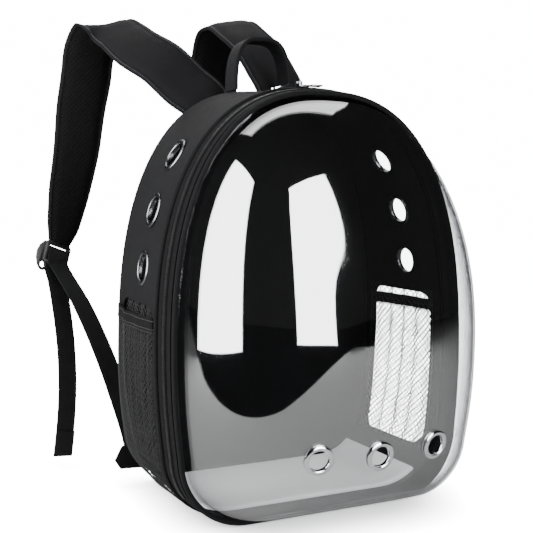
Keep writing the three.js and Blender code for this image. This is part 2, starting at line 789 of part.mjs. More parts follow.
function buildWebbing(lock, side, word) {
  const anchor = anchorPlace(side);
  const down = new THREE.Vector3(0, 0, -1);
  const start = lock.centre.clone().addScaledVector(lock.off, lockThickness / 2 + webbingStandOff);
  start.addScaledVector(down, lockHeight / 4);
  const behind = anchorThickness / 2 + webbingThickness / 2 + seat;
  const finish = anchor.clone().add(new THREE.Vector3(-side * anchorWidth * 0.1, behind, -anchorHeight / 4));
  const lead = finish.clone().add(new THREE.Vector3(side * 2, seat * 4, anchorHeight * 0.75));
  const bowWay = new THREE.Vector3(-side, -1, 0).normalize();
  const points = [0, 0.25, 0.5, 0.75, 1].map((t) => (
    start.clone().lerp(lead, t).addScaledVector(bowWay, webbingBow * Math.sin(Math.PI * t))
  ));
  points.push(finish);
  const level = new THREE.Vector3(1, 0, 0);
  const acrosses = points.map((p, i) => lock.across.clone().lerp(level, i / (points.length - 1)));
  const frames = ribbonFrames(points, acrosses, 8);
  addPart(`lower_webbing_${word}`, ribbon(frames, () => webbingWidth, webbingThickness), blackTrim);
}

function buildTail(lock, side, word) {
  const start = lock.centre.clone().addScaledVector(lock.off, -lockThickness / 2 - webbingThickness / 2 - seat);
  start.addScaledVector(lock.along, lockHeight / 4);
  const drop = start.z - tailClearance;
  const points = [0, 0.15, 0.35, 0.6, 0.8, 1].map((t) => (
    start.clone().add(new THREE.Vector3(-side * tailSway * Math.sin(Math.PI * t * 0.85), 0, -drop * t))
  ));
  const acrosses = points.map(() => lock.across.clone());
  const frames = ribbonFrames(points, acrosses, 9);
  addPart(`webbing_tail_${word}`, ribbon(frames, () => webbingWidth, webbingThickness), blackTrim);
}

// Anchor tab at the lower back corner
function anchorPlace(side) {
  const corner = wallPoint(shareAtHeight(anchorHeight * 0.6, side), 0, 1);
  const y = corner.y + 2 * backPipingRadius + 2 * gap + anchorThickness / 2 + 1;
  return new THREE.Vector3(corner.x + side * anchorWidth * 0.2, y, corner.z);
}

function buildAnchor(side, word) {
  const place = anchorPlace(side);
  const shape = new THREE.Shape();
  const h = anchorHeight / 2;
  shape.moveTo(-side * anchorWidth * 0.6, -h * 0.6);
  shape.lineTo(side * anchorWidth * 0.25, -h * 0.5);
  shape.lineTo(side * anchorWidth * 0.4, h * 0.1);
  shape.lineTo(side * anchorWidth * 0.2, h);
  shape.lineTo(-side * anchorWidth * 0.5, h);
  const plate = new THREE.ExtrudeGeometry(shape, { depth: anchorThickness, bevelEnabled: false });
  plate.rotateX(Math.PI / 2).translate(0, anchorThickness / 2, 0);
  plate.translate(place.x, place.y, place.z);
  addPart(`strap_anchor_${word}`, plate, blackTrim);
}

function buildStraps() {
  for (const [side, word, run] of [[-1, 'left', leftStrapRun], [1, 'right', rightStrapRun]]) {
    const frames = strapFrames(run);
    addPart(`shoulder_strap_${word}`, ribbon(frames, (t) => strapWidthAt(run, t), strapThickness), blackCloth);
    const lock = buildLock(frames[frames.length - 1], word);
    buildAnchor(side, word);
    buildWebbing(lock, side, word);
    buildTail(lock, side, word);
  }
}

// A strip bent into a loop, each foot on the wall's top where it meets it
function buildHandle() {
  const y = topDepth - handleSetback;
  const deep = (y + handleWidth / 2 - bandDepth) / (topDepth - bandDepth);
  const half = handleSpan / 2;
  const footOf = (side) => wallPoint(shareAtTop(side * (half - handleThickness / 2) - handleLean), 0, deep).z;
  const points = Array.from({ length: 9 }, (_, i) => {
    const angle = (i / 8) * Math.PI;
    const x = half * Math.sign(Math.cos(angle)) * Math.abs(Math.cos(angle)) ** 0.6;
    const foot = THREE.MathUtils.lerp(footOf(-1), footOf(1), (x / half + 1) / 2);
    return new THREE.Vector3(x - handleLean, y, foot + handleSeat + handleHeight * Math.sin(angle) ** 0.8);
  });
  const frames = ribbonFrames(points, points.map(() => new THREE.Vector3(0, 1, 0)), 13);
  addPart('grab_handle', ribbon(frames, () => handleWidth, handleThickness), blackTrim);
}

// Zipper sliders over the top of the arch, and the pull on the left one

function sliderTop(x) {
  const centre = coilCentre();
  return bandPoint(shareAtTop(x), centre.x + coilRadius + gap, centre.y);
}

function buildSliders() {
  const left = sliderTop(sliderPlace);
  const spacing = sliderLength + 2 * gap;
  for (const [i, word] of ['left', 'right'].entries()) {
    const top = sliderTop(sliderPlace + i * spacing);
    const body = new THREE.BoxGeometry(sliderLength, sliderWidth, sliderHeight);
    body.translate(0, 0, sliderHeight / 2);
    let solid = solidOf(body);
    if (word === 'left') {
      solid = withPin(solid);
    }
    const slider = addPart(`zipper_slider_${word}`, geometryOf(solid), darkNickel);
    slider.position.copy(top);
    slider.position.z += sliderSeat;
  }
  buildPull(left);
}

const pinPlace = new THREE.Vector3(-sliderLength / 2 + eyeRadius, 0, sliderHeight + eyeRadius + gap);

// Two ears and a pin across them, on top of the slider
function withPin(solid) {
  const earWidth = (sliderWidth - eyeWidth) / 2 - gap;
  let result = solid;
  for (const side of [-1, 1]) {
    const height = pinPlace.z - sliderHeight + pinRadius + earOverPin;
    const ear = new THREE.BoxGeometry(2 * eyeRadius, earWidth, height + 2 * gap);
    ear.translate(pinPlace.x, side * (sliderWidth - earWidth) / 2, sliderHeight + height / 2 - gap);
    result = result.add(solidOf(ear));
  }
  const pin = new THREE.CylinderGeometry(pinRadius, pinRadius, sliderWidth - 2 * gap, 12);
  pin.translate(pinPlace.x, 0, pinPlace.z);
  return result.add(solidOf(pin));
}

// A slotted plate with an eye round the pin
function buildPull(top) {
  const eye = new THREE.CylinderGeometry(eyeRadius, eyeRadius, eyeWidth, 16);
  const neckLength = sliderLength * 0.35;
  const neck = new THREE.BoxGeometry(neckLength + 1, eyeWidth, pullThickness);
  neck.translate(-eyeRadius - neckLength / 2, 0, 0);
  const bore = new THREE.CylinderGeometry(pinRadius + pinClearance, pinRadius + pinClearance, eyeWidth * 2, 16);
  const half = pullWidth / 2;
  const length = pullLength - neckLength - eyeRadius;
  const shape = new THREE.Shape();
  shape.moveTo(0, -half);
  shape.lineTo(0, half);
  shape.lineTo(-length + half, half);
  shape.absarc(-length + half, 0, half, Math.PI / 2, 1.5 * Math.PI, false);
  const slot = new THREE.Path();
  const slotHalf = half * 0.45;
  slot.moveTo(-3, -slotHalf);
  slot.lineTo(-length + half, -slotHalf);
  slot.absarc(-length + half, 0, slotHalf, 1.5 * Math.PI, Math.PI / 2, true);
  slot.lineTo(-3, slotHalf);
  shape.holes.push(slot);
  const plate = new THREE.ExtrudeGeometry(shape, { depth: pullThickness, bevelEnabled: false, curveSegments: 8 });
  plate.translate(-eyeRadius - neckLength, 0, -pullThickness / 2);
  const solid = solidOf(eye).add(solidOf(neck)).add(solidOf(plate)).subtract(solidOf(bore));
  const pull = addPart('zipper_pull', geometryOf(solid), chrome);
  pull.position.copy(top).add(pinPlace);
  pull.position.z += sliderSeat;
  const tip = sliderTop(sliderPlace + pinPlace.x - pullLength);
  const fall = pull.position.z - tip.z - pullThickness / 2 - pullRest;
  pull.rotation.y = -Math.asin(fall / pullLength);
}

buildGusset();
buildBasePanel();
buildBackPanel();
buildBackPiping();
buildFloorMat();
buildSideNets(-1, 'left');
buildSideNets(1, 'right');
buildFrontBand();
buildDome();
buildStraps();
buildHandle();
buildSliders();

// The row's origin is the middle of the base panel, on the floor
bag.position.y = -(bandDepth + baseDepth) / 2;

const part = new THREE.Group();
part.name = 'pet_carrier_backpack';
part.add(bag);
part.updateMatrixWorld(true);

export default part;
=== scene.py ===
import math

import bmesh
import bpy
import numpy as np
from mathutils import Matrix, Vector


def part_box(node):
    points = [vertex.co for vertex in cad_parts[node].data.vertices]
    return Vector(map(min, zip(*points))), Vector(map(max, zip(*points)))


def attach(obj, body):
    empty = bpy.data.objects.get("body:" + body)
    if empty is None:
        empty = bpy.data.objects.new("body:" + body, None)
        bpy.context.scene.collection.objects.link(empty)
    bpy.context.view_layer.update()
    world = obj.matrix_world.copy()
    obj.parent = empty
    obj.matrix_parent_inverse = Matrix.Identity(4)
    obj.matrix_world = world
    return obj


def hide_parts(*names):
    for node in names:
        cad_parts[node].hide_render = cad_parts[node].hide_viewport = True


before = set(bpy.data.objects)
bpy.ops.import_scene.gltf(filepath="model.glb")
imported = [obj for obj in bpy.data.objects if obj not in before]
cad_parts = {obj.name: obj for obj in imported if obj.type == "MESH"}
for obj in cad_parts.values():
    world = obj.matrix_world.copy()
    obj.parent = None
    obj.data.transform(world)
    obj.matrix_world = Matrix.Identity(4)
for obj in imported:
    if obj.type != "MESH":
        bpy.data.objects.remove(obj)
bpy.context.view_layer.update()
mm = 0.001
print("frame loaded")

# Camera, fitted to the photograph: metres and degrees
camera = {"place": (-0.4668, -0.9221, 0.3106), "yaw": 25.8, "down": 3.35, "roll": -0.29,
          "lens": 61.59, "shiftX": 0.0109, "sensor": 36, "near": 0.05, "far": 60}


def makeCamera():
    yaw, down, roll = (math.radians(camera[k]) for k in ("yaw", "down", "roll"))
    ahead = Vector((math.sin(yaw) * math.cos(down), math.cos(yaw) * math.cos(down), -math.sin(down)))
    right = Vector((math.cos(yaw), -math.sin(yaw), 0))
    up = right.cross(ahead)
    rightTurned = right * math.cos(roll) + up * math.sin(roll)
    upTurned = up * math.cos(roll) - right * math.sin(roll)
    data = bpy.data.cameras.new("camera")
    data.sensor_width = camera["sensor"]
    data.lens = camera["lens"]
    data.shift_x = camera["shiftX"]
    data.clip_start, data.clip_end = camera["near"], camera["far"]
    cam = bpy.data.objects.new("camera", data)
    bpy.context.scene.collection.objects.link(cam)
    turn = Matrix((rightTurned, upTurned, -ahead)).transposed().to_4x4()
    cam.matrix_world = Matrix.Translation(camera["place"]) @ turn
    bpy.context.scene.camera = cam


makeCamera()

# Materials


def hexColour(code):
    parts = [int(code[i:i + 2], 16) / 255 for i in (1, 3, 5)]
    return tuple(c / 12.92 if c <= 0.04045 else ((c + 0.055) / 1.055) ** 2.4 for c in parts) + (1,)


def addNode(tree, kind, settings=None, inputs=None):
    # A node given as an input stands for its first output
    node = tree.nodes.new(kind)
    for name, value in (settings or {}).items():
        setattr(node, name, value)
    for name, value in (inputs or {}).items():
        if isinstance(value, bpy.types.Node):
            value = value.outputs[0]
        if isinstance(value, bpy.types.NodeSocket):
            tree.links.new(value, node.inputs[name])
        else:
            node.inputs[name].default_value = value
    return node


def newMaterial(name):
    material = bpy.data.materials.new(name)
    material.use_nodes = True
    tree = material.node_tree
    tree.nodes.clear()
    return material, tree


def finishMaterial(tree, shader):
    addNode(tree, "ShaderNodeOutputMaterial", None, {"Surface": shader})


def clothPlace(tree, pitchMm, turn=0.0):
    # The cloth's own map, in threads
    uv = addNode(tree, "ShaderNodeUVMap", {"uv_map": "cloth"})
    scale = (1 / (pitchMm * mm),) * 3
    return addNode(tree, "ShaderNodeMapping", None, {
        "Vector": uv, "Rotation": (0, 0, math.radians(turn)), "Scale": scale})


oneBand = math.pi / 10  # the Wave texture's scale at which each unit holds one band


def wovenPolyester():
    # 600-denier plain weave of 0.26 mm threads, coated inside: matt, with a faint sheen
    material, tree = newMaterial("wovenPolyester")
    place = clothPlace(tree, 0.26)
    warp, weft = (addNode(tree, "ShaderNodeTexWave", {"bands_direction": way}, {
        "Vector": place, "Scale": oneBand}).outputs["Fac"] for way in "XY")
    weave = addNode(tree, "ShaderNodeMath", {"operation": "MULTIPLY"}, {0: warp, 1: weft})
    where = addNode(tree, "ShaderNodeTexCoord").outputs["Object"]
    cloudy, slack = (addNode(tree, "ShaderNodeTexNoise", None, {
        "Vector": where, "Scale": scale, "Detail": detail}).outputs["Fac"]
        for scale, detail in ((14.0, 3.0), (22.0, 2.0)))
    # Colour follows the weave's relief: the thread crossings are lighter and the gaps between threads darker, a
    # painted shade in the weave
    colour = addNode(tree, "ShaderNodeMix", {"data_type": "RGBA"}, {
        0: weave, 6: hexColour("#070708"), 7: hexColour("#121213")}).outputs[2]
    wear = addNode(tree, "ShaderNodeMath", {"operation": "MULTIPLY"}, {0: cloudy, 1: 0.35})
    worn = addNode(tree, "ShaderNodeMix", {"data_type": "RGBA"}, {
        0: wear, 6: colour, 7: hexColour("#161618")}).outputs[2]
    relief = addNode(tree, "ShaderNodeMath", {"operation": "MULTIPLY_ADD"}, {0: weave, 1: 0.25, 2: slack})
    bump = addNode(tree, "ShaderNodeBump", None, {"Strength": 0.45, "Distance": 0.0012, "Height": relief})
    rough = addNode(tree, "ShaderNodeMapRange", None, {"Value": cloudy, "To Min": 0.62, "To Max": 0.82})
    shader = addNode(tree, "ShaderNodeBsdfPrincipled", None, {
        "Base Color": worn, "Roughness": rough, "Normal": bump, "Specular IOR Level": 0.04,
        "Sheen Weight": 0.02, "Sheen Roughness": 0.5})
    finishMaterial(tree, shader)
    return material


def ribbedCloth(name, pitchMm, dark, light, rough, depthMm, turn=0.0):
    material, tree = newMaterial(name)
    place = clothPlace(tree, pitchMm, turn)
    rib, fine = (addNode(tree, "ShaderNodeTexWave", {"bands_direction": way}, {
        "Vector": place, "Scale": scale * oneBand}).outputs["Fac"] for way, scale in (("Y", 1), ("X", 2)))
    relief = addNode(tree, "ShaderNodeMath", {"operation": "MULTIPLY_ADD"}, {0: fine, 1: 0.4, 2: rib})
    where = addNode(tree, "ShaderNodeTexCoord").outputs["Object"]
    cloudy = addNode(tree, "ShaderNodeTexNoise", None, {"Vector": where, "Scale": 30.0, "Detail": 3.0}).outputs["Fac"]
    # Colour follows the relief: raised ribs lighter and the grooves between them darker, a painted shade in the
    # grooves
    shadeByRelief = addNode(tree, "ShaderNodeMath", {"operation": "MULTIPLY"}, {0: relief, 1: 0.6})
    colour = addNode(tree, "ShaderNodeMix", {"data_type": "RGBA"}, {
        0: shadeByRelief, 6: hexColour(dark), 7: hexColour(light)}).outputs[2]
    bump = addNode(tree, "ShaderNodeBump", None, {"Strength": 0.7, "Distance": depthMm * mm, "Height": relief})
    roughness = addNode(tree, "ShaderNodeMapRange", None, {
        "Value": cloudy, "To Min": rough - 0.08, "To Max": rough + 0.08})
    shader = addNode(tree, "ShaderNodeBsdfPrincipled", None, {
        "Base Color": colour, "Roughness": roughness, "Normal": bump,
        "Specular IOR Level": 0.05, "Sheen Weight": 0.01})
    finishMaterial(tree, shader)
    return material


def airMesh():
    # Spacer knit on the side that lies on the wearer: matt, with open 4.2 mm cells in slanting rows
    material, tree = newMaterial("airMeshKnit")
    place = clothPlace(tree, 4.2, 38)
    cells = addNode(tree, "ShaderNodeTexVoronoi", {"feature": "DISTANCE_TO_EDGE"}, {
        "Vector": place, "Scale": 1.0, "Randomness": 0.1}).outputs["Distance"]
    rows = addNode(tree, "ShaderNodeTexWave", {"bands_direction": "X"}, {
        "Vector": place, "Scale": 5 * oneBand}).outputs["Fac"]
    wall = addNode(tree, "ShaderNodeMapRange", None, {
        "Value": cells, "From Max": 0.3, "To Min": 1.0, "To Max": 0.0})
    relief = addNode(tree, "ShaderNodeMath", {"operation": "MULTIPLY_ADD"}, {0: rows, 1: 0.8, 2: wall})
    # Colour follows the relief: the open cells darker, partly the darker inner layer showing through and partly
    # painted shade, and the raised rows and cell walls lighter, a painted highlight
    shadeByRelief = addNode(tree, "ShaderNodeMath", {"operation": "MULTIPLY"}, {0: relief, 1: 0.5})
    colour = addNode(tree, "ShaderNodeMix", {"data_type": "RGBA"}, {
        0: shadeByRelief, 6: hexColour("#040404"), 7: hexColour("#101011")}).outputs[2]
    bump = addNode(tree, "ShaderNodeBump", None, {"Strength": 0.8, "Distance": 0.0012, "Height": relief})
    shader = addNode(tree, "ShaderNodeBsdfPrincipled", None, {
        "Base Color": colour, "Roughness": 0.88, "Normal": bump, "Specular IOR Level": 0.05})
    finishMaterial(tree, shader)
    return material


# Share mirrored head-on, above the plastic's own 0.045, so that the lamps read white as in the photograph.
# The bend at the flange, between the two depths, mirrors little of it
sheet = {"gloss": 0.24, "bendFrom": -0.13, "bendTo": -0.113, "bendGloss": 0.12,
         "clear": "#f7f8f8", "edgeOn": "#8f8e94", "waviness": 7.0}


def clearPolycarbonate():
    # Blown clear sheet, 2 mm: what lies behind shows almost unchanged, and lamps mirror sharply in both faces
    material, tree = newMaterial("clearPolycarbonate")
    where = addNode(tree, "ShaderNodeTexCoord").outputs["Object"]
    waviness = addNode(tree, "ShaderNodeTexNoise", None, {
        "Vector": where, "Scale": sheet["waviness"], "Detail": 1.0}).outputs["Fac"]
    bump = addNode(tree, "ShaderNodeBump", None, {"Strength": 0.12, "Distance": 0.004, "Height": waviness})
    edgeOn = addNode(tree, "ShaderNodeLayerWeight", None, {"Blend": 0.5}).outputs["Facing"]
    # Light that crosses the sheet at a slant goes further through it
    longWay = addNode(tree, "ShaderNodeMath", {"operation": "POWER"}, {0: edgeOn, 1: 3.0})
    tint = addNode(tree, "ShaderNodeMix", {"data_type": "RGBA"}, {
        0: longWay, 6: hexColour(sheet["clear"]), 7: hexColour(sheet["edgeOn"])}).outputs[2]
    through = addNode(tree, "ShaderNodeBsdfTransparent", None, {"Color": tint})
    mirror = addNode(tree, "ShaderNodeBsdfGlossy", None, {"Roughness": 0.03, "Normal": bump})
    facing = addNode(tree, "ShaderNodeLayerWeight", None, {"Blend": 0.5, "Normal": bump}).outputs["Facing"]
    # The mirrored share grows towards grazing, alike from both sides
    grazing = addNode(tree, "ShaderNodeMath", {"operation": "POWER"}, {0: facing, 1: 5.0})
    share = addNode(tree, "ShaderNodeMapRange", None, {"Value": grazing, "To Min": sheet["gloss"], "To Max": 1.0})
    split = addNode(tree, "ShaderNodeSeparateXYZ", None, {"Vector": where})
    bend = addNode(tree, "ShaderNodeMapRange", None, {
        "Value": split.outputs[1], "From Min": sheet["bendFrom"], "From Max": sheet["bendTo"],
        "To Min": 1.0, "To Max": sheet["bendGloss"]})
    lessBend = addNode(tree, "ShaderNodeMath", {"operation": "MULTIPLY"}, {0: share, 1: bend})
    # Lamplight that falls into the cabin isn't dimmed by the mirrored share
    path = addNode(tree, "ShaderNodeLightPath")
    seen = addNode(tree, "ShaderNodeMath", {"operation": "SUBTRACT"}, {0: 1.0, 1: path.outputs["Is Shadow Ray"]})
    gloss = addNode(tree, "ShaderNodeMath", {"operation": "MULTIPLY"}, {0: lessBend, 1: seen})
    finishMaterial(tree, addNode(tree, "ShaderNodeMixShader", None, {0: gloss, 1: through, 2: mirror}))
    return material


def metalFinish(name, colour, rough):
    material, tree = newMaterial(name)
    where = addNode(tree, "ShaderNodeTexCoord").outputs["Object"]
    scuffs = addNode(tree, "ShaderNodeTexNoise", None, {
        "Vector": where, "Scale": 260.0, "Detail": 4.0}).outputs["Fac"]
    roughness = addNode(tree, "ShaderNodeMapRange", None, {
        "Value": scuffs, "To Min": rough * 0.7, "To Max": rough * 1.5})
    shader = addNode(tree, "ShaderNodeBsdfPrincipled", None, {
        "Base Color": hexColour(colour), "Metallic": 1.0, "Roughness": roughness})
    finishMaterial(tree, shader)
    return material


def mouldedPlastic(name, colour, rough, grainMm):
    material, tree = newMaterial(name)
    where = addNode(tree, "ShaderNodeTexCoord").outputs["Object"]
    grain = addNode(tree, "ShaderNodeTexNoise", None, {
        "Vector": where, "Scale": 1 / (grainMm * mm), "Detail": 2.0}).outputs["Fac"]
    bump = addNode(tree, "ShaderNodeBump", None, {"Strength": 0.25, "Distance": 0.0002, "Height": grain})
    roughness = addNode(tree, "ShaderNodeMapRange", None, {
        "Value": grain, "To Min": rough - 0.06, "To Max": rough + 0.06})
    shader = addNode(tree, "ShaderNodeBsdfPrincipled", None, {
        "Base Color": hexColour(colour), "Roughness": roughness, "Normal": bump, "IOR": 1.5})
    finishMaterial(tree, shader)
    return material


polyester = wovenPolyester()
webbing = ribbedCloth("nylonWebbing", 0.32, "#090909", "#17171a", 0.62, 0.5)  # woven in ribs along its length
pipingCloth = ribbedCloth("pipingCloth", 0.28, "#080808", "#141416", 0.6, 0.25, 40)  # cut on the slant
zipTape = ribbedCloth("zipperTape", 0.38, "#070707", "#151517", 0.66, 0.5)  # knitted, with ribs along it
elastic = ribbedCloth("knittedElastic", 0.3, "#080808", "#121213", 0.7, 0.4)  # knitted over rubber threads
spacerKnit = airMesh()
netYarn = mouldedPlastic("netYarn", "#09090a", 0.85, 1.2)  # polyester yarn of the nets
stitchThread = mouldedPlastic("stitchThread", "#26262a", 0.6, 0.8)  # bonded thread, lighter than the cloth
clearSheet = clearPolycarbonate()
floorBoard = mouldedPlastic("paleFloorBoard", "#f2f2f3", 0.55, 1.0)  # embossed pale sheet over board
chromedSteel = metalFinish("chromedSteel", "#e6e7e9", 0.07)  # plated and polished: mirrors sharply
darkNickel = metalFinish("darkNickelPlate", "#6a6b6e", 0.24)  # satin plating on pressed eyelets
acetal = mouldedPlastic("blackAcetal", "#0b0b0c", 0.4, 0.6)  # moulded, with a fine satin grain
nylonCoil = mouldedPlastic("nylonCoil", "#0a0a0b", 0.7, 0.8)  # drawn monofilament, dulled by the stitching over it
print("materials made")

# Meshes


def linkMesh(name, mesh):
    piece = bpy.data.objects.new(name, mesh)
    bpy.context.scene.collection.objects.link(piece)
    return piece


def faceOutwards(mesh, weld=0.0):
    work = bmesh.new()
    work.from_mesh(mesh)
    if weld:
        bmesh.ops.remove_doubles(work, verts=work.verts, dist=weld)
    bmesh.ops.recalc_face_normals(work, faces=work.faces)
    work.to_mesh(mesh)
    work.free()


def runOf(points, wrap):
    steps = np.linalg.norm(np.diff(np.vstack([points, points[:1]]) if wrap else points, axis=0), axis=1)
    return np.concatenate([[0], np.cumsum(steps)])


def gridPiece(name, points, wrapRows=False, wrapColumns=False, caps=False, sharp=40):
    rows, columns = points.shape[:2]
    i, j = np.meshgrid(np.arange(rows - (not wrapRows)), np.arange(columns - (not wrapColumns)), indexing="ij")
    iNext, jNext = (i + 1) % rows, (j + 1) % columns
    faces = np.stack([i * columns + j, iNext * columns + j, iNext * columns + jNext, i * columns + jNext], -1)
    faces = faces.reshape(-1, 4).tolist()
    u = runOf(points.mean(1) if wrapColumns else points[:, columns // 2], wrapRows)
    v = runOf(points[rows // 2], wrapColumns)
    uv = np.stack([np.stack([u[i], v[j]], -1), np.stack([u[i + 1], v[j]], -1),
                   np.stack([u[i + 1], v[j + 1]], -1), np.stack([u[i], v[j + 1]], -1)], 2).reshape(-1, 2)
    if caps:
        faces += [list(range(columns)), list(range((rows - 1) * columns, rows * columns))]
        uv = np.vstack([uv, np.zeros((2 * columns, 2))])
    mesh = bpy.data.meshes.new(name)
    mesh.from_pydata(points.reshape(-1, 3).tolist(), [], faces)
    mesh.uv_layers.new(name="cloth").data.foreach_set("uv", uv.ravel())
    faceOutwards(mesh)
    mesh.shade_smooth()
    mesh.set_sharp_from_angle(angle=math.radians(sharp))
    return linkMesh(name, mesh)


def applyModifiers(piece, sharp=40):
    evaluated = piece.evaluated_get(bpy.context.evaluated_depsgraph_get())
    mesh = bpy.data.meshes.new_from_object(evaluated)
    mesh.name = piece.name
    piece.modifiers.clear()
    piece.data = mesh
    mesh.shade_smooth()
    mesh.set_sharp_from_angle(angle=math.radians(sharp))


def cutAway(piece, cutters, sharp=40):
    for cutter in cutters:
        hole = piece.modifiers.new("hole", "BOOLEAN")
        hole.operation = "DIFFERENCE"
        hole.solver = "EXACT"
        hole.object = cutter
    applyModifiers(piece, sharp)
    for cutter in cutters:
        bpy.data.objects.remove(cutter)


def keep(piece, material, slotName, *nodes, body="bag"):
    if not piece.data.materials:
        piece.data.materials.append(material)
    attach(piece, body)
    if nodes:
        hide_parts(*nodes)
    return piece


# The body's outline, in millimetres: from the middle of the base up the right side and over
outline = {"halfWidth": 162, "height": 420, "shoulder": 156, "archPower": 2.46,
           "baseHalfWidth": 156, "corner": 65}
depths = {"band": 32, "top": 164, "base": 184, "backRise": 22, "frontFlare": 11, "backFlare": 4,
          "wall": 3, "lift": 7.4, "middle": 108, "gap": 0.3}


def outlineTable(count=960):
    o = outline
    turn, up = np.linspace(0, math.pi / 2, 80), np.linspace(0, 1, 40)
    flat = np.linspace(0, o["baseHalfWidth"] - o["corner"], 30)
    power = 2 / o["archPower"]
    right = np.vstack([
        np.column_stack([flat, flat * 0]),
        np.column_stack([flat[-1] + o["corner"] * np.sin(turn), o["corner"] * (1 - np.cos(turn))])[1:],
        np.column_stack([o["halfWidth"] - (o["halfWidth"] - o["baseHalfWidth"]) * (1 - up) ** 2,
                         o["corner"] + (o["shoulder"] - o["corner"]) * up])[1:],
        np.column_stack([o["halfWidth"] * np.cos(turn) ** power,
                         o["shoulder"] + (o["height"] - o["shoulder"]) * np.sin(turn) ** power])[1:]])
    right[-1, 0] = 0
    loop = np.vstack([right, right[-2:0:-1] * (-1, 1)])
    run = runOf(loop, True)
    places = np.arange(count) / count * run[-1]
    closed = np.vstack([loop, loop[:1]])
    points = np.column_stack([np.interp(places, run, closed[:, k]) for k in (0, 1)])
    for _ in range(12):
        points = (np.roll(points, 1, 0) + 2 * points + np.roll(points, -1, 0)) / 4
    ahead = np.roll(points, -1, 0) - np.roll(points, 1, 0)
    ahead /= np.linalg.norm(ahead, axis=1)[:, None]
    rows = {"x": points[:, 0], "z": points[:, 1], "nx": ahead[:, 1], "nz": -ahead[:, 0],
            "low": np.maximum(1 - points[:, 1] / o["corner"], 0) ** 2, "rise": (points[:, 1] / o["height"]) ** 2}
    return {k: np.append(v, v[0]) for k, v in rows.items()}, run[-1]


outlineRows, outlineLength = outlineTable()
outlineShares = np.linspace(0, 1, len(outlineRows["x"]))
baseEnd = (outline["baseHalfWidth"] - outline["corner"]) / outlineLength


def outlineAt(share):
    return {k: np.interp(np.mod(share, 1.0), outlineShares, v) for k, v in outlineRows.items()}


def shareAtHeight(z, side):
    half = len(outlineShares) // 2
    share = np.interp(z, outlineRows["z"][20:half], outlineShares[20:half])
    return share if side > 0 else 1 - share


def shareAtTop(x):
    half = len(outlineShares) // 2
    span = slice(half - 150, half + 150)
    return np.interp(-x, -outlineRows["x"][span], outlineShares[span])


def toFrame(x, y, z):
    return np.stack(np.broadcast_arrays(x, y - depths["middle"], z), -1) * mm


def wallPoint(share, out, deep, behind=0.0):
    d, p = depths, outlineAt(share)
    flare = d["frontFlare"] + (d["backFlare"] - d["frontFlare"]) * deep
    flare = flare + (d["lift"] - flare) * p["low"]
    z = d["lift"] + p["z"] + p["nz"] * (flare + out) + d["backRise"] * p["rise"] * deep
    back = d["base"] + (d["top"] - d["base"]) * p["z"] / outline["height"]
    return toFrame(p["x"] + p["nx"] * (flare + out), d["band"] + (back - d["band"]) * deep + behind, z)


band = {"pipingRadius": 2.75, "domePipingOut": 4.6, "frontPipingOut": 11.5, "flange": 5.8, "tape": 1.4,
        "backPipingRadius": 2.5, "toothPitch": 2.0, "toothLength": 5.2, "tooth": 1.3,
        "cordOffset": 4.2, "cordRadius": 0.55}
band["frontPipingDepth"] = depths["band"] - depths["gap"] - band["pipingRadius"]
band["drop"] = band["frontPipingOut"] + band["pipingRadius"] - depths["lift"]


def bandPoint(share, out, back):
    p = outlineAt(share)
    drop = band["drop"] * p["low"] * np.clip(back / band["frontPipingDepth"], 0, 1)
    z = depths["lift"] + p["z"] + p["nz"] * (out - drop)
    return toFrame(p["x"] + p["nx"] * (out - drop), back + 0 * p["x"], z)


# Fabric body

ringShares = np.linspace(0, 1, 640, endpoint=False)


def ventPlace(z, side):
    share, deep = shareAtHeight(z, side), sideVents["deep"]
    centre = wallPoint(share, -depths["wall"] / 2, deep)
    up = wallPoint(share + 0.008, 0, deep) - wallPoint(share - 0.008, 0, deep)
    back = wallPoint(share, 0, deep + 0.1) - wallPoint(share, 0, deep - 0.1)
    return Vector(centre), Vector(np.cross(back, up)).normalized()


def turned(kind, place, normal, radius, length):
    work = bmesh.new()
    bmesh.ops.create_cone(work, cap_ends=True, segments=64, radius1=radius, radius2=radius, depth=length)
    mesh = bpy.data.meshes.new(kind)
    work.to_mesh(mesh)
    work.free()
    mesh.transform(Matrix.Translation(place) @ normal.to_track_quat("Z", "Y").to_matrix().to_4x4())
    return linkMesh(kind, mesh)


sideVents = {"hole": 28, "rim": 37, "heights": (354, 300, 243), "deep": 0.41, "thickness": 3, "standOut": 1.3,
             "cut": 15.5}
domeVents = {"hole": 19.5, "rim": 29, "height": 78, "spacing": 64, "thickness": 2, "standOut": 1.3, "cut": 11.15}
cutterLength = 0.03
window = {"bottom": 36, "top": 208, "margin": 16, "round": 14}


def windowCutter(side):
    low, high = shareAtHeight(window["bottom"], 1), shareAtHeight(window["top"], 1)
    edge = window["margin"] / (depths["top"] - depths["band"])
    turnBy = np.radians(np.arange(0, 91, 10))
    roundShare, roundDeep = window["round"] / outlineLength, edge * 0.9
    shares, deeps = [], []
    for quarter, (far, up) in enumerate(((1, 1), (0, 1), (0, 0), (1, 0))):
        angle = turnBy + quarter * math.pi / 2
        shares.append((high - roundShare if up else low + roundShare) + roundShare * np.sin(angle))
        deeps.append((1 - edge - roundDeep if far else edge + roundDeep) + roundDeep * np.cos(angle))
    share, deep = np.concatenate(shares), np.concatenate(deeps)
    share = share if side > 0 else 1 - share
    points = np.stack([wallPoint(share, out, deep) for out in (-12, 9)])
    return gridPiece("windowCutter", points, wrapColumns=True, caps=True)


slackness = {"depth": 1.0, "folds": 0.9, "freeFrom": 60}


def wallSlack(share, deep):
    # Shallow hollows where the cloth isn't held: millimetres, inwards
    held = np.sin(math.pi * np.clip(deep, 0, 1)) ** 0.8
    p = outlineAt(share)
    upright = np.abs(p["nx"])
    hand = np.sign(p["x"])
    folds = np.sin(p["z"] * 0.055 + hand * 1.3) + 0.7 * np.sin(p["z"] * 0.021 + deep * 3.0 + 2 * hand)
    free = np.clip(p["z"] / slackness["freeFrom"], 0, 1)
    return -held * upright * (slackness["depth"] + slackness["folds"] * folds) * free


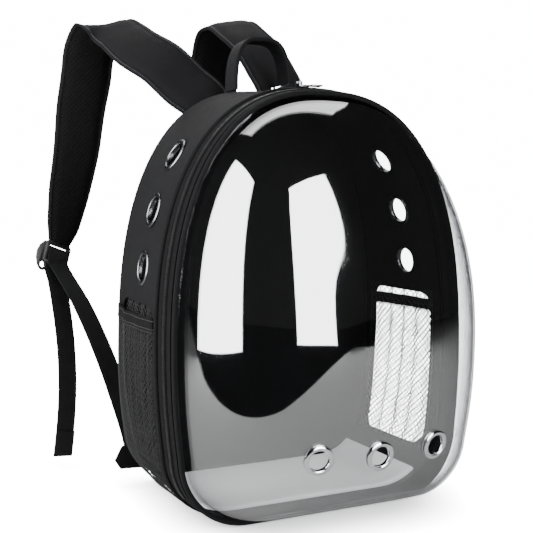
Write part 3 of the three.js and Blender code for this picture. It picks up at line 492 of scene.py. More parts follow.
def makeWall():
    deeps = np.linspace(0, 1, 22)
    share = ringShares[:, None]
    slack = wallSlack(share, deeps[None, :])
    outer = wallPoint(share, slack, deeps[None, :])
    inner = wallPoint(share, slack - depths["wall"], deeps[None, :])
    wall = gridPiece("gussetCloth", np.concatenate([outer, inner[:, ::-1]], 1), True, True)
    cutters = [windowCutter(side) for side in (-1, 1)]
    for side in (-1, 1):
        for z in sideVents["heights"]:
            place, normal = ventPlace(z, side)
            cutters.append(turned("ventCutter", place, normal, sideVents["cut"] * mm, cutterLength))
    cutAway(wall, cutters)
    keep(wall, polyester, "black_cloth", "side_wall_left", "side_wall_right", "top_wall", "base_panel")


def makeBackPanel():
    # Padded back: crowned, and drawn in at its edge seam
    rim = -2 * band["backPipingRadius"] - 0.6
    steps = np.linspace(0, 1, 26)
    rows = [wallPoint(ringShares[::2], rim - 3, 1, -6), wallPoint(ringShares[::2], rim, 1, -3)]
    edge = wallPoint(ringShares[::2], rim, 1, 1.5)
    centre = np.array([0, wallPoint(0.25, 0, 1)[1], 0.21])
    for step in steps:
        inwards = 1 - 0.93 * step
        row = centre + (edge - centre) * inwards
        row[:, 1] = edge[:, 1] + mm * 3.5 * (1 - inwards ** 6) ** 0.5
        rows.append(row)
    points = np.stack(rows)
    panel = gridPiece("backPanelPad", points, wrapColumns=True, caps=True)
    keep(panel, polyester, "black_cloth", "back_panel")


def ringTube(name, pointAt, radius, sides=14):
    turn = np.linspace(0, 2 * math.pi, sides, endpoint=False)
    out, back = radius * np.cos(turn)[None, :], radius * np.sin(turn)[None, :]
    return gridPiece(name, pointAt(ringShares[:, None], out, back), True, True)


def makePipings():
    b = band
    gap = depths["gap"]
    front = ringTube("frontPiping", lambda s, o, k: bandPoint(
        s, b["frontPipingOut"] + o, b["frontPipingDepth"] + k), b["pipingRadius"])
    keep(front, pipingCloth, "black_trim", "front_piping")
    dome = ringTube("domePiping", lambda s, o, k: bandPoint(
        s, b["domePipingOut"] + o, -gap - b["pipingRadius"] + k), b["pipingRadius"])
    keep(dome, pipingCloth, "black_trim", "dome_piping")
    r = b["backPipingRadius"]
    back = ringTube("backPiping", lambda s, o, k: wallPoint(s, -r + o, 1, r + gap + k), r)
    keep(back, pipingCloth, "black_trim", "back_piping")


def tapeLine():
    front = np.array([band["flange"] + depths["gap"] + band["tape"] / 2, 0.667])
    back = np.array([depths["frontFlare"] - 0.8, band["frontPipingDepth"] - band["pipingRadius"] - depths["gap"]])
    slope = (back - front) / np.linalg.norm(back - front)
    return front, back, np.array([slope[1], -slope[0]])


def geometryTree(name, sizes):
    tree = bpy.data.node_groups.new(name, "GeometryNodeTree")
    tree.interface.new_socket("Geometry", in_out="INPUT", socket_type="NodeSocketGeometry")
    tree.interface.new_socket("Geometry", in_out="OUTPUT", socket_type="NodeSocketGeometry")
    for label, value in sizes.items():
        socket = tree.interface.new_socket(label, in_out="INPUT", socket_type="NodeSocketFloat")
        socket.default_value = value
    tree.interface.new_socket("Material", in_out="INPUT", socket_type="NodeSocketMaterial")
    return tree, addNode(tree, "NodeGroupInput"), addNode(tree, "NodeGroupOutput")


def endTree(tree, given, result, shape):
    real = addNode(tree, "GeometryNodeRealizeInstances", None, {"Geometry": shape})
    dressed = addNode(tree, "GeometryNodeSetMaterial", None, {
        "Geometry": real.outputs[0], "Material": given.outputs["Material"]})
    tree.links.new(dressed.outputs[0], result.inputs[0])


def beadTree():
    # Bars set along every run of edges: stitches, and a zipper's teeth
    tree, given, result = geometryTree("beadsAlongRun", {
        "Spacing": 0.003, "Length": 0.002, "Thickness": 0.0007, "Across": 0.0})
    curve = addNode(tree, "GeometryNodeMeshToCurve", None, {"Mesh": given.outputs["Geometry"]})
    even = addNode(tree, "GeometryNodeResampleCurve", {"mode": "LENGTH"}, {
        "Curve": curve.outputs[0], "Length": given.outputs["Spacing"]})
    radius = addNode(tree, "ShaderNodeMath", {"operation": "MULTIPLY"}, {0: given.outputs["Thickness"], 1: 0.5})
    bar = addNode(tree, "GeometryNodeMeshCylinder", None, {
        "Vertices": 6, "Radius": radius, "Depth": given.outputs["Length"]})
    tangent = addNode(tree, "GeometryNodeInputTangent")
    outward = addNode(tree, "GeometryNodeInputNamedAttribute", {"data_type": "FLOAT_VECTOR"}, {
        "Name": "outward"})
    sideways = addNode(tree, "ShaderNodeVectorMath", {"operation": "CROSS_PRODUCT"}, {
        0: tangent.outputs[0], 1: outward.outputs[0]})
    way = addNode(tree, "ShaderNodeMix", {"data_type": "VECTOR"}, {0: given.outputs["Across"]})
    tree.links.new(tangent.outputs[0], way.inputs[4])
    tree.links.new(sideways.outputs[0], way.inputs[5])
    turn = addNode(tree, "FunctionNodeAlignRotationToVector", {"axis": "Z"}, {"Vector": way.outputs[1]})
    bars = addNode(tree, "GeometryNodeInstanceOnPoints", None, {
        "Points": even.outputs[0], "Instance": bar.outputs[0], "Rotation": turn.outputs[0]})
    endTree(tree, given, result, bars.outputs[0])
    return tree


def yarnTree():
    # Round yarn along every run of edges
    tree, given, result = geometryTree("yarnAlongRun", {"Thickness": 0.0005})
    curve = addNode(tree, "GeometryNodeMeshToCurve", None, {"Mesh": given.outputs["Geometry"]})
    radius = addNode(tree, "ShaderNodeMath", {"operation": "MULTIPLY"}, {0: given.outputs["Thickness"], 1: 0.5})
    profile = addNode(tree, "GeometryNodeCurvePrimitiveCircle", None, {"Resolution": 4, "Radius": radius})
    tube = addNode(tree, "GeometryNodeCurveToMesh", None, {
        "Curve": curve.outputs[0], "Profile Curve": profile.outputs[0], "Fill Caps": True})
    endTree(tree, given, result, tube.outputs[0])
    return tree


beads, yarn = beadTree(), yarnTree()


def runPiece(name, tree, runs, material, sizes, outward=None):
    points, edges, normals = [], [], []
    for k, run in enumerate(runs):
        start = len(points)
        points += [tuple(p) for p in run]
        edges += [(start + i, start + i + 1) for i in range(len(run) - 1)]
        normals += [tuple(n) for n in (outward[k] if outward is not None else [(0, 0, 1)] * len(run))]
    mesh = bpy.data.meshes.new(name)
    mesh.from_pydata(points, edges, [])
    attribute = mesh.attributes.new("outward", "FLOAT_VECTOR", "POINT")
    attribute.data.foreach_set("vector", np.array(normals, float).ravel())
    piece = linkMesh(name, mesh)
    modifier = piece.modifiers.new("run", "NODES")
    modifier.node_group = tree
    for item in tree.interface.items_tree:
        if item.in_out == "INPUT" and item.name in sizes:
            modifier[item.identifier] = float(sizes[item.name])
        if item.in_out == "INPUT" and item.name == "Material":
            modifier[item.identifier] = material
    applyModifiers(piece, 60)
    return piece


def makeZipper():
    front, back, across = tapeLine()
    half = across * band["tape"] / 2
    steps = np.linspace(0, 1, 9)
    outer = [front + (back - front) * t + half for t in steps]
    inner = [front + (back - front) * t - half for t in steps[::-1]]
    section = np.array(outer + inner)
    points = bandPoint(ringShares[:, None], section[None, :, 0], section[None, :, 1])
    tape = gridPiece("zipperTape", points, True, True)
    middle = (front + back) / 2 + across * (band["tape"] / 2 + 0.7)
    share = np.linspace(baseEnd + 0.05, 1 - baseEnd - 0.05, 700)
    line = bandPoint(share, middle[0], middle[1])
    above = bandPoint(share, *(middle + across))
    outward = (above - line) / np.linalg.norm(above - line, axis=1)[:, None]
    teeth = runPiece("zipperTeeth", beads, [line], acetal, {
        "Spacing": band["toothPitch"] * mm, "Length": band["toothLength"] * mm,
        "Thickness": band["tooth"] * mm, "Across": 1.0}, [outward])
    cords = []
    turn, radius = np.linspace(0, 2 * math.pi, 8, endpoint=False), band["cordRadius"]
    for offset in (-band["cordOffset"], band["cordOffset"]):
        place = middle + (back - front) / np.linalg.norm(back - front) * offset - across * 0.3
        points = [bandPoint(share, place[0] + radius * math.cos(a), place[1] + radius * math.sin(a)) for a in turn]
        cords.append(gridPiece("tapeCord", np.stack(points, 1), False, True, True))
    joinPieces(tape, cords)
    keep(tape, zipTape, "black_trim", "zipper_tape")
    keep(teeth, nylonCoil, "black_plastic", "zipper_coil")


def joinPieces(piece, others):
    work = bmesh.new()
    for each in [piece, *others]:
        work.from_mesh(each.data)
    material = list(piece.data.materials)
    mesh = bpy.data.meshes.new(piece.name)
    work.to_mesh(mesh)
    work.free()
    for m in material:
        mesh.materials.append(m)
    mesh.shade_smooth()
    mesh.set_sharp_from_angle(angle=math.radians(40))
    piece.data = mesh
    for each in others:
        bpy.data.objects.remove(each)


mat = {"reach": 15, "under": 0.8, "thickness": 3.8, "softEdge": 1.0}


def makeFloorMat():
    reach = shareAtHeight(mat["reach"], 1)
    share = np.linspace(-reach, reach, 160)[:, None]
    back = 1 - 6.3 / (depths["top"] - depths["band"])
    deeps = np.concatenate([[0.012], np.linspace(0.02, back - 0.02, 24), [back]])[None, :]
    bottom = -depths["wall"] - mat["under"]
    top = bottom - mat["thickness"]
    soft = np.full(deeps.shape, top)
    soft[0, 0] = soft[0, -1] = top + mat["softEdge"]
    upper = wallPoint(share, soft, deeps)
    lower = wallPoint(share, bottom, deeps)
    board = gridPiece("floorMat", np.concatenate([upper, lower[:, ::-1]], 1), False, True, True)
    keep(board, floorBoard, "pale_mat", "floor_mat")


makeWall()
makeBackPanel()
makePipings()
makeZipper()
makeFloorMat()
print("fabric body made")

# Clear dome

bubble = {"baseDepth": 90, "topDepth": 168, "centre": 82, "sidePower": 3.6, "topPower": 1.7,
          "basePower": 3.5, "frontPower": 1.56, "blend": 0.08, "wall": 2}


def domePoint(share, angle, inset=0.0):
    # From the flange (angle 0) to the bubble's middle (90 degrees)
    d, p = bubble, outlineAt(share)
    x, up = p["x"] - p["nx"] * inset, p["z"] - p["nz"] * inset - d["centre"]
    across = np.abs(x) / outline["halfWidth"]
    upright = np.where(up > 0, up / (outline["height"] - d["centre"]), -up / d["centre"])
    soft = (np.hypot(upright, d["blend"]) - d["blend"]) / (math.hypot(1, d["blend"]) - d["blend"])
    power = np.where(up > 0, d["topPower"], d["basePower"])

    def reach(level):
        low, high = np.zeros(np.broadcast(across, level).shape), np.full(np.broadcast(across, level).shape, 1.5)
        for _ in range(40):
            middle = (low + high) / 2
            inside = (middle * across) ** d["sidePower"] + (middle * soft) ** power < level
            low, high = np.where(inside, middle, low), np.where(inside, high, middle)
        return low

    shrink = reach(np.cos(angle) ** 2) / reach(np.ones(1))
    forward = np.sin(angle) ** (2 / d["frontPower"])
    z = d["centre"] + up * shrink
    depth = d["baseDepth"] + (d["topDepth"] - d["baseDepth"]) * z / outline["height"] - inset
    return toFrame(x * shrink, -depth * forward, depths["lift"] + z)


def domeVentPlace(x):
    shares, angles = np.meshgrid(np.linspace(0, 1, 361), np.radians(np.linspace(30, 89.5, 240)), indexing="ij")
    points = domePoint(shares, angles, bubble["wall"] / 2)
    wanted = np.array([x, depths["lift"] + domeVents["height"]]) * mm
    miss = np.hypot(points[..., 0] - wanted[0], points[..., 2] - wanted[1])
    i, j = np.unravel_index(miss.argmin(), miss.shape)
    i, j = min(max(i, 1), 359), min(max(j, 1), 238)
    a, b = points[i + 1, j] - points[i - 1, j], points[i, j + 1] - points[i, j - 1]
    normal = Vector(np.cross(a, b)).normalized()
    return Vector(points[i, j]), normal if normal.y < 0 else -normal


def makeDome():
    angles = np.concatenate([np.radians(np.linspace(0, 60, 40)), np.radians(np.linspace(61.5, 89.2, 26))])
    share = ringShares[::2][None, :]
    flange = [bandPoint(share[0], out, back) for out, back in
              ((-2, 2), (2, 2), (band["flange"], 2), (band["flange"], 0))]
    outer = domePoint(share, angles[:, None])
    inner = domePoint(share, angles[::-1, None], bubble["wall"])
    points = np.concatenate([inner, np.stack(flange), outer])
    dome = gridPiece("clearBubble", points, wrapColumns=True, caps=True, sharp=50)
    places = [domeVentPlace(x) for x in (-domeVents["spacing"], 0, domeVents["spacing"])]
    cutAway(dome, [turned("ventCutter", place, normal, domeVents["cut"] * mm, cutterLength)
                   for place, normal in places], 50)
    keep(dome, clearSheet, "clear_plastic", "dome")
    for k, (place, normal) in enumerate(places):
        ventRing(f"domeVentRing{k + 1}", place, normal, domeVents, chromedSteel, "chrome", f"dome_vent_{k + 1}")


def ventRing(name, place, normal, sizes, material, slotName, node):
    # An eyelet: a domed flange on each face, rolled into the hole
    hole, rim, wall, out = sizes["hole"] / 2, sizes["rim"] / 2, sizes["thickness"] / 2, sizes["standOut"]
    face = [(hole + 1.1, wall + 0.1), (rim - 1.2, wall + 0.1), (rim - 0.3, wall + 0.15), (rim, wall + 0.45),
            (rim - 0.3, wall + 0.8), (rim - 1.4, wall + out), (hole + 2.2, wall + out + 0.35),
            (hole + 1.0, wall + out + 0.2), (hole + 0.25, wall + out - 0.35), (hole, wall + out - 1.1)]
    profile = np.array([(r, -h) for r, h in face] + [(r, h) for r, h in face[::-1]])
    turn = np.linspace(0, 2 * math.pi, 72, endpoint=False)
    points = np.stack([profile[None, :, 0] * np.cos(turn)[:, None], profile[None, :, 0] * np.sin(turn)[:, None],
                       np.broadcast_to(profile[None, :, 1], (72, len(profile)))], -1) * mm
    ring = gridPiece(name, points, True, True, sharp=60)
    ring.data.transform(Matrix.Translation(place) @ normal.to_track_quat("Z", "Y").to_matrix().to_4x4())
    keep(ring, material, slotName, node)


makeDome()
for side, word in ((-1, "left"), (1, "right")):
    for k, z in enumerate(sideVents["heights"]):
        place, normal = ventPlace(z, side)
        ventRing(f"sideVentRing{word.title()}{k + 1}", place, normal, sideVents, darkNickel,
                 "dark_nickel", f"side_vent_{word}_{k + 1}")
print("dome and vents made")

# Mesh windows and pockets

pocket = {"bottom": 18, "top": 199, "bandHeight": 13, "bulge": 11, "mouth": 8, "foldDepth": 1.6,
          "edge": 0.03, "netWidth": 134, "netHeight": 168, "windowWidth": 120, "windowHeight": 180,
          "netPitch": 3.2, "netYarn": 0.95, "windowPitch": 3.8, "windowYarn": 1.35}  # real yarn 0.4, drawn thicker


def pocketPoint(side, up, deep, thickness=0.0):
    z = pocket["bottom"] + (pocket["top"] - pocket["bottom"]) * up
    share = shareAtHeight(z, side)
    across = np.clip(np.sin(math.pi * (deep - 0.03) / 0.94), 0, 1) ** 0.6
    body = pocket["bulge"] * np.sin(math.pi * (0.006 + 0.75 * up)) ** 0.6
    off = 0.4 + across * (body + (pocket["mouth"] - body) * up ** 3)
    folds = np.sin(deep * 21 + up * 3.4 * side) * 0.6 + np.sin(deep * 9.5 - up * 2.2 + side) * 0.6
    off = off + across * pocket["foldDepth"] * folds * (0.35 + 0.65 * np.clip(up * 1.6, 0, 1))
    return wallPoint(share, off + thickness, deep)


def diamondRuns(pointAt, width, height, pitch):
    # Zigzag yarns that meet at their bends, as in a warp-knit net
    columns, rows = int(width / pitch), int(height / pitch)
    runs = []
    for c in range(columns + 1):
        v = np.arange(rows + 1) / rows
        u = np.clip((c + 0.5 * np.where(np.arange(rows + 1) % 2 == c % 2, 1, 0) * 2 - 0.5) / columns, 0, 1)
        runs.append(pointAt(u, v))
    return runs


stitch = {"Spacing": 3.6 * mm, "Length": 2.6 * mm, "Thickness": 0.6 * mm}


def makePocket(side, word):
    top = (pocket["top"] - pocket["bandHeight"] - pocket["bottom"]) / (pocket["top"] - pocket["bottom"])
    near, far = pocket["edge"], 1 - pocket["edge"]
    runs = diamondRuns(lambda u, v: pocketPoint(side, v * top, near + (far - near) * u, 0.6),
                       pocket["netWidth"], pocket["netHeight"], pocket["netPitch"])
    for v in (0.0, 0.995):
        runs.append(pocketPoint(side, np.full(60, v * top), np.linspace(near, far, 60), 0.6))
    net = runPiece(f"pocketNet{word.title()}", yarn, runs, netYarn, {"Thickness": pocket["netYarn"] * mm})
    keep(net, netYarn, "black_net", f"pocket_net_{word}")
    deeps, ups = np.linspace(near, far, 90)[None, :], np.linspace(top, 1, 7)[:, None]
    outer = pocketPoint(side, ups, deeps, 1.8)
    inner = pocketPoint(side, ups, deeps, 0.2)
    strip = gridPiece(f"pocketBand{word.title()}", np.concatenate([outer, inner[::-1]], 0), True, False)
    closeSides(strip)
    keep(strip, elastic, "black_trim", f"pocket_band_{word}")
    rows = [pocketPoint(side, np.full(90, v), deeps[0], 1.9) for v in (top + 0.012, 0.985)]
    seam = runPiece(f"pocketStitches{word.title()}", beads, rows, stitchThread, stitch)
    keep(seam, stitchThread, "black_trim")
    edge = (window["margin"] - 6) / (depths["top"] - depths["band"])
    low, high = window["bottom"] - 4, window["top"] + 4

    def windowAt(u, v):
        share = shareAtHeight(low + (high - low) * v, side)
        gathered = u + 0.022 * np.sin(31 * u + 2.2 * v) * np.sin(math.pi * u)  # bunched in upright folds
        return wallPoint(share, -depths["wall"] - 1.2, edge + (1 - 2 * edge) * gathered)

    runs = diamondRuns(windowAt, pocket["windowWidth"], pocket["windowHeight"], pocket["windowPitch"])
    net = runPiece(f"windowNet{word.title()}", yarn, runs, netYarn, {"Thickness": pocket["windowYarn"] * mm})
    keep(net, netYarn, "black_net", f"window_net_{word}")


def closeSides(piece):
    work = bmesh.new()
    work.from_mesh(piece.data)
    bmesh.ops.holes_fill(work, edges=[e for e in work.edges if e.is_boundary])
    bmesh.ops.recalc_face_normals(work, faces=work.faces)
    work.to_mesh(piece.data)
    work.free()
    piece.data.shade_smooth()
    piece.data.set_sharp_from_angle(angle=math.radians(40))


for side, word in ((-1, "left"), (1, "right")):
    makePocket(side, word)
print("nets and pockets made")

# Straps: side, back, up, swing and bank of each place on the run, with the width there
strap = {"width": 62, "thickness": 12, "reach": 147, "top": 535, "spread": 195, "rows": 150, "panel": 5,
         "seatGap": 0.6, "stitchShare": 0.452, "stitchHeight": 2.45}
strapRuns = {
    "left": [
        (-0.25, 0, 0.75, 0, 12, 1), (-0.29, 0.012, 0.82, 0, 26, 1), (-0.4, 0.091, 0.86, 3, 34, 1),
        (-0.52, 0.175, 0.907, 5, 33, 1), (-0.63, 0.33, 0.943, 12, 27, 1), (-0.69, 0.517, 0.98, 14, 17, 1),
        (-0.74, 0.666, 1, 16, 12, 1), (-0.78, 0.786, 0.99, 16, 8, 1), (-0.82, 0.846, 0.956, 14, 3, 1),
        (-0.84, 0.886, 0.892, 12, 0, 1), (-0.872, 0.906, 0.821, 8, 0, 0.97), (-0.905, 0.896, 0.73, 2, 0, 0.92),
        (-0.962, 0.876, 0.63, -6, 0, 0.84), (-1.012, 0.836, 0.552, -14, 0, 0.68),
        (-1.045, 0.806, 0.514, -18, 0, 0.46)],
    "right": [
        (0.24, 0, 0.76, 0, 0, 1), (0.215, 0.012, 0.855, 0, 2, 1.03), (0.17, 0.091, 0.907, 0, 6, 1.05),
        (0.125, 0.215, 0.958, 0, 7, 1.05), (0.084, 0.386, 0.997, 3, 8, 1.05), (0.062, 0.577, 1.026, 6, 10, 1.02),
        (0.051, 0.746, 1.019, 9, 10, 1), (0.046, 0.856, 0.978, 10, 5, 1), (0.051, 0.916, 0.911, 12, 2, 1),
        (0.067, 0.936, 0.812, 13, 1, 0.98), (0.123, 0.906, 0.713, 13, 0, 0.92), (0.22, 0.856, 0.614, 13, 0, 0.82),
        (0.3, 0.816, 0.545, 11, 0, 0.7), (0.33, 0.791, 0.51, 12, 0, 0.46)]}


def smoothRun(points, shares):
    # Centripetal curve through the points
    points = np.asarray(points, float)
    ends = np.vstack([2 * points[0] - points[1], points, 2 * points[-1] - points[-2]])
    place = shares * (len(points) - 1)
    span = np.minimum(place.astype(int), len(points) - 2)
    t = (place - span)[:, None]
    p0, p1, p2, p3 = (ends[span + k] for k in range(4))
    gaps = [np.maximum(np.linalg.norm(b - a, axis=1), 1e-9)[:, None] ** 0.5
            for a, b in ((p0, p1), (p1, p2), (p2, p3))]
    m1 = ((p1 - p0) / gaps[0] - (p2 - p0) / (gaps[0] + gaps[1]) + (p2 - p1) / gaps[1]) * gaps[1]
    m2 = ((p2 - p1) / gaps[1] - (p3 - p1) / (gaps[1] + gaps[2]) + (p3 - p2) / gaps[2]) * gaps[1]
    return p1 + m1 * t + (3 * (p2 - p1) - 2 * m1 - m2) * t ** 2 + (2 * (p1 - p2) + m1 + m2) * t ** 3


def unit(v):
    return v / np.linalg.norm(v, axis=-1, keepdims=True)


def framesAlong(points, acrosses, count):
    shares = np.linspace(0, 1, count)
    line = smoothRun(points, shares)
    place = shares * (len(acrosses) - 1)
    steps, ways = np.arange(len(acrosses)), np.asarray(acrosses)
    across = np.stack([np.interp(place, steps, ways[:, k]) for k in range(3)], -1)
    ahead = unit(np.gradient(line, axis=0))
    across = unit(across - (across * ahead).sum(1, keepdims=True) * ahead)
    return {"line": line, "ahead": ahead, "across": across, "off": np.cross(across, ahead), "share": shares}


def ribbonPoints(f, width, section):
    section = np.asarray(section)
    width = np.broadcast_to(width, f["share"].shape)
    return (f["line"][:, None] + f["across"][:, None] * (section[None, :, 0] * width[:, None])[..., None]
            + f["off"][:, None] * section[None, :, 1][..., None])


def strapSeat(z):
    height = outline["height"]
    upright = np.minimum((z - depths["lift"]) * height / (height + depths["backRise"]), height)
    back = depths["base"] + (depths["top"] - depths["base"]) * upright / height
    return back + strap["panel"] + strap["seatGap"] + strap["thickness"] / 2


def strapFrames(word, count):
    run = np.array(strapRuns[word])
    z = run[:, 2] * strap["top"]
    y = strapSeat(z[0]) + run[:, 1] * strap["reach"] - depths["middle"]
    points = np.stack([run[:, 0] * strap["spread"], y, z], -1) * mm
    swing, bank = np.radians(run[:, 3]), np.radians(run[:, 4])
    across = np.stack([np.cos(bank) * np.cos(swing), -np.cos(bank) * np.sin(swing), np.sin(bank)], -1)
    f = framesAlong(points, across, count)
    f["width"] = np.interp(f["share"] * (len(run) - 1), np.arange(len(run)), run[:, 5]) * strap["width"] * mm
    return f


def strapSection():
    # Padded middle and a bound edge: shares of the width, and millimetres of thickness
    half = [(0.5, 0.0), (0.498, 1.3), (0.48, 2.2), (0.43, 2.3), (0.405, 2.0), (0.385, 2.6), (0.34, 4.4),
            (0.26, 5.5), (0.14, 5.9), (0, 6.0)]
    outer = half + [(-a, b) for a, b in half[-2::-1]]
    inner = [(-a, -b) for a, b in half[1:]] + [(a, -b) for a, b in half[-2:0:-1]]
    return np.array([(a, b * mm) for a, b in outer + inner])


def makeStrap(word):
    f = strapFrames(word, strap["rows"])
    section = strapSection()
    points = ribbonPoints(f, f["width"], section)
    pad = gridPiece(f"shoulderStrap{word.title()}", points, False, True, True, 50)
    for material in (polyester, spacerKnit, webbing):
        pad.data.materials.append(material)
    columns = len(section)
    inside = section[:, 1] < -0.0021
    bound = np.abs(section[:, 0]) > 0.41
    for face in pad.data.polygons:
        column = face.index % columns
        after = (column + 1) % columns
        if bound[column] and bound[after]:
            face.material_index = 2
        elif inside[column] or inside[after]:
            face.material_index = 1
    keep(pad, polyester, "black_cloth", f"shoulder_strap_{word}")
    rows = [f["line"] + f["across"] * (edge * f["width"])[:, None] + f["off"] * strap["stitchHeight"] * mm
            for edge in (-strap["stitchShare"], strap["stitchShare"])]
    seam = runPiece(f"strapStitches{word.title()}", beads, rows, stitchThread, stitch)
    keep(seam, stitchThread, "black_trim")
    return f


lock = {"height": 28, "thickness": 5, "rail": 4.5}
tape = {"width": 25, "thickness": 1.8, "hemStep": 1.9}


def tapeSection(thickness):
    # Slightly thicker in the middle, with soft edges: shares of the width, and metres of thickness
    edge, b = 0.48, thickness / 2 * mm
    top = [(0.5, b * 0.3), (edge, b), (0.3, b * 1.05), (0, b * 1.08), (-0.3, b * 1.05), (-edge, b), (-0.5, b * 0.3)]
    return np.array(top + [(a, -h) for a, h in top[::-1]])


def makeWebbing(word, side, f):
    # From the lower corner up through the ladder lock, and down again as the free tail
    along, across = f["ahead"][-1], f["across"][-1]
    off = np.cross(across, -along)
    centre = f["line"][-1] + along * (lock["height"] / 2 + 0.3) * mm
    down = np.array([0, 0, -1.0])
    anchorLow, anchorHigh = (np.array(c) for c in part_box(f"strap_anchor_{word}"))
    webLow, webHigh = (np.array(c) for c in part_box(f"lower_webbing_{word}"))
    tailLow, tailHigh = (np.array(c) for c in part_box(f"webbing_tail_{word}"))
    slot = (lock["height"] - 3 * lock["rail"]) / 4 + lock["rail"] / 2
    start = centre + off * (lock["thickness"] / 2 + 3.4) * mm + down * lock["height"] / 4 * mm
    anchor = (anchorLow + anchorHigh) / 2
    finish = np.array([anchor[0] - side * 4.4 * mm, anchorHigh[1] + 1.5 * mm, webLow[2] + 3 * mm])
    lead = finish + np.array([side * 2, 2.4, 27]) * mm
    bow = unit(np.array([-side, -1, 0.0])) * 9 * mm
    points = [finish, lead] + [start * (1 - t) + lead * t + bow * math.sin(math.pi * t) for t in (0.75, 0.5, 0.25)]
    points += [start + down * 6 * mm, centre + off * 4.6 * mm + along * 5 * mm,
               centre + off * 4.2 * mm - along * slot * 0.4 * mm, centre - along * (slot + 1.2) * mm,
               centre - off * 4.0 * mm - along * slot * 0.5 * mm, centre - off * 4.4 * mm + along * 9 * mm]
    tailStart = centre - off * 3.7 * mm + along * 7 * mm
    drop = tailStart[2] - 12 * mm
    for t in (0.1, 0.2, 0.35, 0.5, 0.65, 0.8, 0.93, 1):
        points.append(tailStart + np.array([-side * 15 * mm * math.sin(math.pi * t * 0.85), 0, -drop * t]))
    level = np.array([1.0, 0, 0])
    lower = 6
    acrosses = [level * (1 - k / lower) + across * (k / lower) for k in range(lower)]
    acrosses += [across] * (len(points) - lower)
    g = framesAlong(points, acrosses, 260)
    section = tapeSection(tape["thickness"])
    piece = gridPiece(f"webbing{word.title()}", ribbonPoints(g, tape["width"] * mm, section), False, True, True)
    keep(piece, webbing, "black_trim", f"lower_webbing_{word}", f"webbing_tail_{word}")
    folded = [g["line"][k] - g["off"][k] * tape["hemStep"] * mm for k in (-22, -12, -1)]
    hem = framesAlong(folded, [across] * 3, 20)
    fold = gridPiece(f"webbingHem{word.title()}", ribbonPoints(hem, tape["width"] * mm, section), False, True, True)
    keep(fold, webbing, "black_trim")


def solidCopy(node, name, bevel, material, slotName, body="bag", level=2):
    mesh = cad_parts[node].data.copy()
    mesh.name = name
    mesh.materials.clear()
    work = bmesh.new()
    work.from_mesh(mesh)
    bmesh.ops.remove_doubles(work, verts=work.verts, dist=1e-6)
    bmesh.ops.dissolve_limit(work, angle_limit=math.radians(2), verts=work.verts, edges=work.edges)
    work.to_mesh(mesh)
    work.free()
    piece = linkMesh(name, mesh)
    soft = piece.modifiers.new("soft", "BEVEL")
    soft.width, soft.segments, soft.angle_limit = bevel * mm, level, math.radians(35)
    applyModifiers(piece, 35)
    piece.data.materials.clear()
    keep(piece, material, slotName, node, body=body)
    return piece


for side, word in ((-1, "left"), (1, "right")):
    frames = makeStrap(word)
    makeWebbing(word, side, frames)
    solidCopy(f"strap_lock_{word}", f"strapLock{word.title()}", 0.8, acetal, "black_plastic")
    solidCopy(f"strap_anchor_{word}", f"strapAnchor{word.title()}", 0.8, polyester, "black_trim")
print("straps made")


grip = {"span": 68, "lean": 4, "height": 58, "width": 28, "thickness": 4.2, "setback": 17, "seat": 0.4}


def makeHandle():
    g, half = grip, grip["span"] / 2
    y = depths["top"] - g["setback"]
    deep = (y + g["width"] / 2 - depths["band"]) / (depths["top"] - depths["band"])
    turn = np.linspace(0, math.pi, 17)
    x = half * np.sign(np.cos(turn)) * np.abs(np.cos(turn)) ** 0.6
    inwards = half - g["thickness"] / 2
    feet = [wallPoint(shareAtTop(side * inwards - g["lean"]), 0, deep)[2] / mm for side in (-1, 1)]
    foot = feet[0] + (feet[1] - feet[0]) * (x / half + 1) / 2
    points = toFrame(x - g["lean"], y, foot + g["seat"] + g["height"] * np.sin(turn) ** 0.8)
    f = framesAlong(points, [(0, 1, 0)] * 17, 90)
    points = ribbonPoints(f, g["width"] * mm, tapeSection(g["thickness"]))
    handle = gridPiece("grabHandle", points, False, True, True)
    keep(handle, webbing, "black_trim", "grab_handle")


makeHandle()
solidCopy("zipper_slider_left", "zipperSliderLeft", 0.5, darkNickel, "dark_nickel")
solidCopy("zipper_slider_right", "zipperSliderRight", 0.5, darkNickel, "dark_nickel")
solidCopy("zipper_pull", "zipperPull", 0.4, chromedSteel, "chrome", body="pull")
print("handle and sliders made")

# Floor and light


studio = {"floorSize": 16, "background": 16.0, "fill": 0.02, "floorGlow": 16.0, "shadowReach": 0.04,
          "shadowPower": 1.6, "paintedDarkInReflections": 0.72, "paintedDarkLineSlope": -1.03, "paintedDarkLineEdge": -0.71}


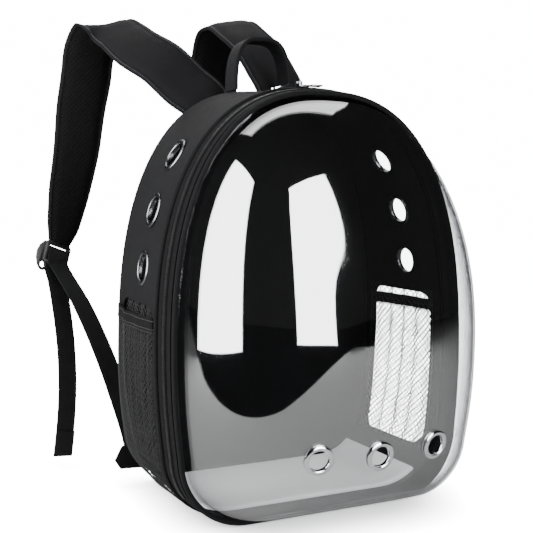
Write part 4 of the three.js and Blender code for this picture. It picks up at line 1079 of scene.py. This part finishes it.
def makeStage():
    work = bmesh.new()
    bmesh.ops.create_grid(work, x_segments=1, y_segments=1, size=studio["floorSize"] / 2)
    mesh = bpy.data.meshes.new("studioFloor")
    work.to_mesh(mesh)
    work.free()
    mesh.transform(Matrix.Translation((0, 0, -0.0002)))
    floor = linkMesh("studioFloor", mesh)
    material, tree = newMaterial("paleFloorPaint")
    path = addNode(tree, "ShaderNodeLightPath")
    shade = addNode(tree, "ShaderNodeAmbientOcclusion", {"samples": 8}, {
        "Distance": studio["shadowReach"]}).outputs["AO"]
    shadow = addNode(tree, "ShaderNodeMath", {"operation": "POWER"}, {0: shade, 1: studio["shadowPower"]})
    glow = addNode(tree, "ShaderNodeMath", {"operation": "MULTIPLY"}, {0: shadow, 1: studio["floorGlow"]})
    shown = addNode(tree, "ShaderNodeMath", {"operation": "MULTIPLY"}, {0: path.outputs["Is Camera Ray"], 1: glow})
    paint = addNode(tree, "ShaderNodeBsdfPrincipled", None, {
        "Base Color": hexColour("#fafafa"), "Roughness": 0.9, "Specular IOR Level": 0.1,
        "Emission Color": (1, 1, 1, 1), "Emission Strength": shown})
    # Painted reflection: the floor is drawn as black emission for glossy rays, so reflections see little of the
    # floor, and beyond a slanted line across it they see only black, a painted dark room
    where = addNode(tree, "ShaderNodeTexCoord").outputs["Object"]
    split = addNode(tree, "ShaderNodeSeparateXYZ", None, {"Vector": where})
    ahead = addNode(tree, "ShaderNodeMath", {"operation": "MULTIPLY_ADD"}, {
        0: split.outputs[0], 1: studio["paintedDarkLineSlope"], 2: studio["paintedDarkLineEdge"]})
    pastPaintedDarkLine = addNode(tree, "ShaderNodeMath", {"operation": "LESS_THAN"}, {0: split.outputs[1], 1: ahead})
    paintedDarkShare = addNode(tree, "ShaderNodeMath", {"operation": "MAXIMUM"}, {0: pastPaintedDarkLine, 1: studio["paintedDarkInReflections"]})
    paintedDarkForGloss = addNode(tree, "ShaderNodeMath", {"operation": "MULTIPLY"}, {
        0: paintedDarkShare, 1: path.outputs["Is Glossy Ray"]})
    dark = addNode(tree, "ShaderNodeEmission", None, {"Color": (0, 0, 0, 1)})
    finishMaterial(tree, addNode(tree, "ShaderNodeMixShader", None, {0: paintedDarkForGloss, 1: paint, 2: dark}))
    mesh.materials.append(material)
    world = bpy.data.worlds.new("studio")
    world.use_nodes = True
    tree = world.node_tree
    tree.nodes.clear()
    path = addNode(tree, "ShaderNodeLightPath")
    seen = addNode(tree, "ShaderNodeBackground", None, {"Color": (1, 1, 1, 1), "Strength": studio["background"]})
    fill = addNode(tree, "ShaderNodeBackground", None, {"Color": (1, 1, 1, 1), "Strength": studio["fill"]})
    both = addNode(tree, "ShaderNodeMixShader", None, {0: path.outputs["Is Camera Ray"], 1: fill, 2: seen})
    addNode(tree, "ShaderNodeOutputWorld", None, {"Surface": both})
    bpy.context.scene.world = world


# Softboxes: metres and watts
lights = {
    "leftSoftbox": {"place": (-1.13, 0.0, 0.88), "aim": (0, 0.0, 0.88), "size": (0.92, 1.7), "power": 78},
    "frontSoftbox": {"place": (0.15, -1.5, 1.07), "aim": (0.15, 0, 1.07), "size": (0.86, 2.05), "power": 85},
    "topSoftbox": {"place": (0.35, 1.5, 2.2), "aim": (0.1, 0.2, 0.2), "size": (2.3, 2.3), "power": 62}}


def makeLights():
    for name, s in lights.items():
        data = bpy.data.lights.new(name, "AREA")
        data.shape, data.energy = "RECTANGLE", s["power"]
        data.size, data.size_y = s["size"]
        lamp = bpy.data.objects.new(name, data)
        lamp.location = s["place"]
        lamp.rotation_euler = (Vector(s["aim"]) - Vector(s["place"])).to_track_quat("-Z", "Y").to_euler()
        bpy.context.scene.collection.objects.link(lamp)


makeStage()
makeLights()
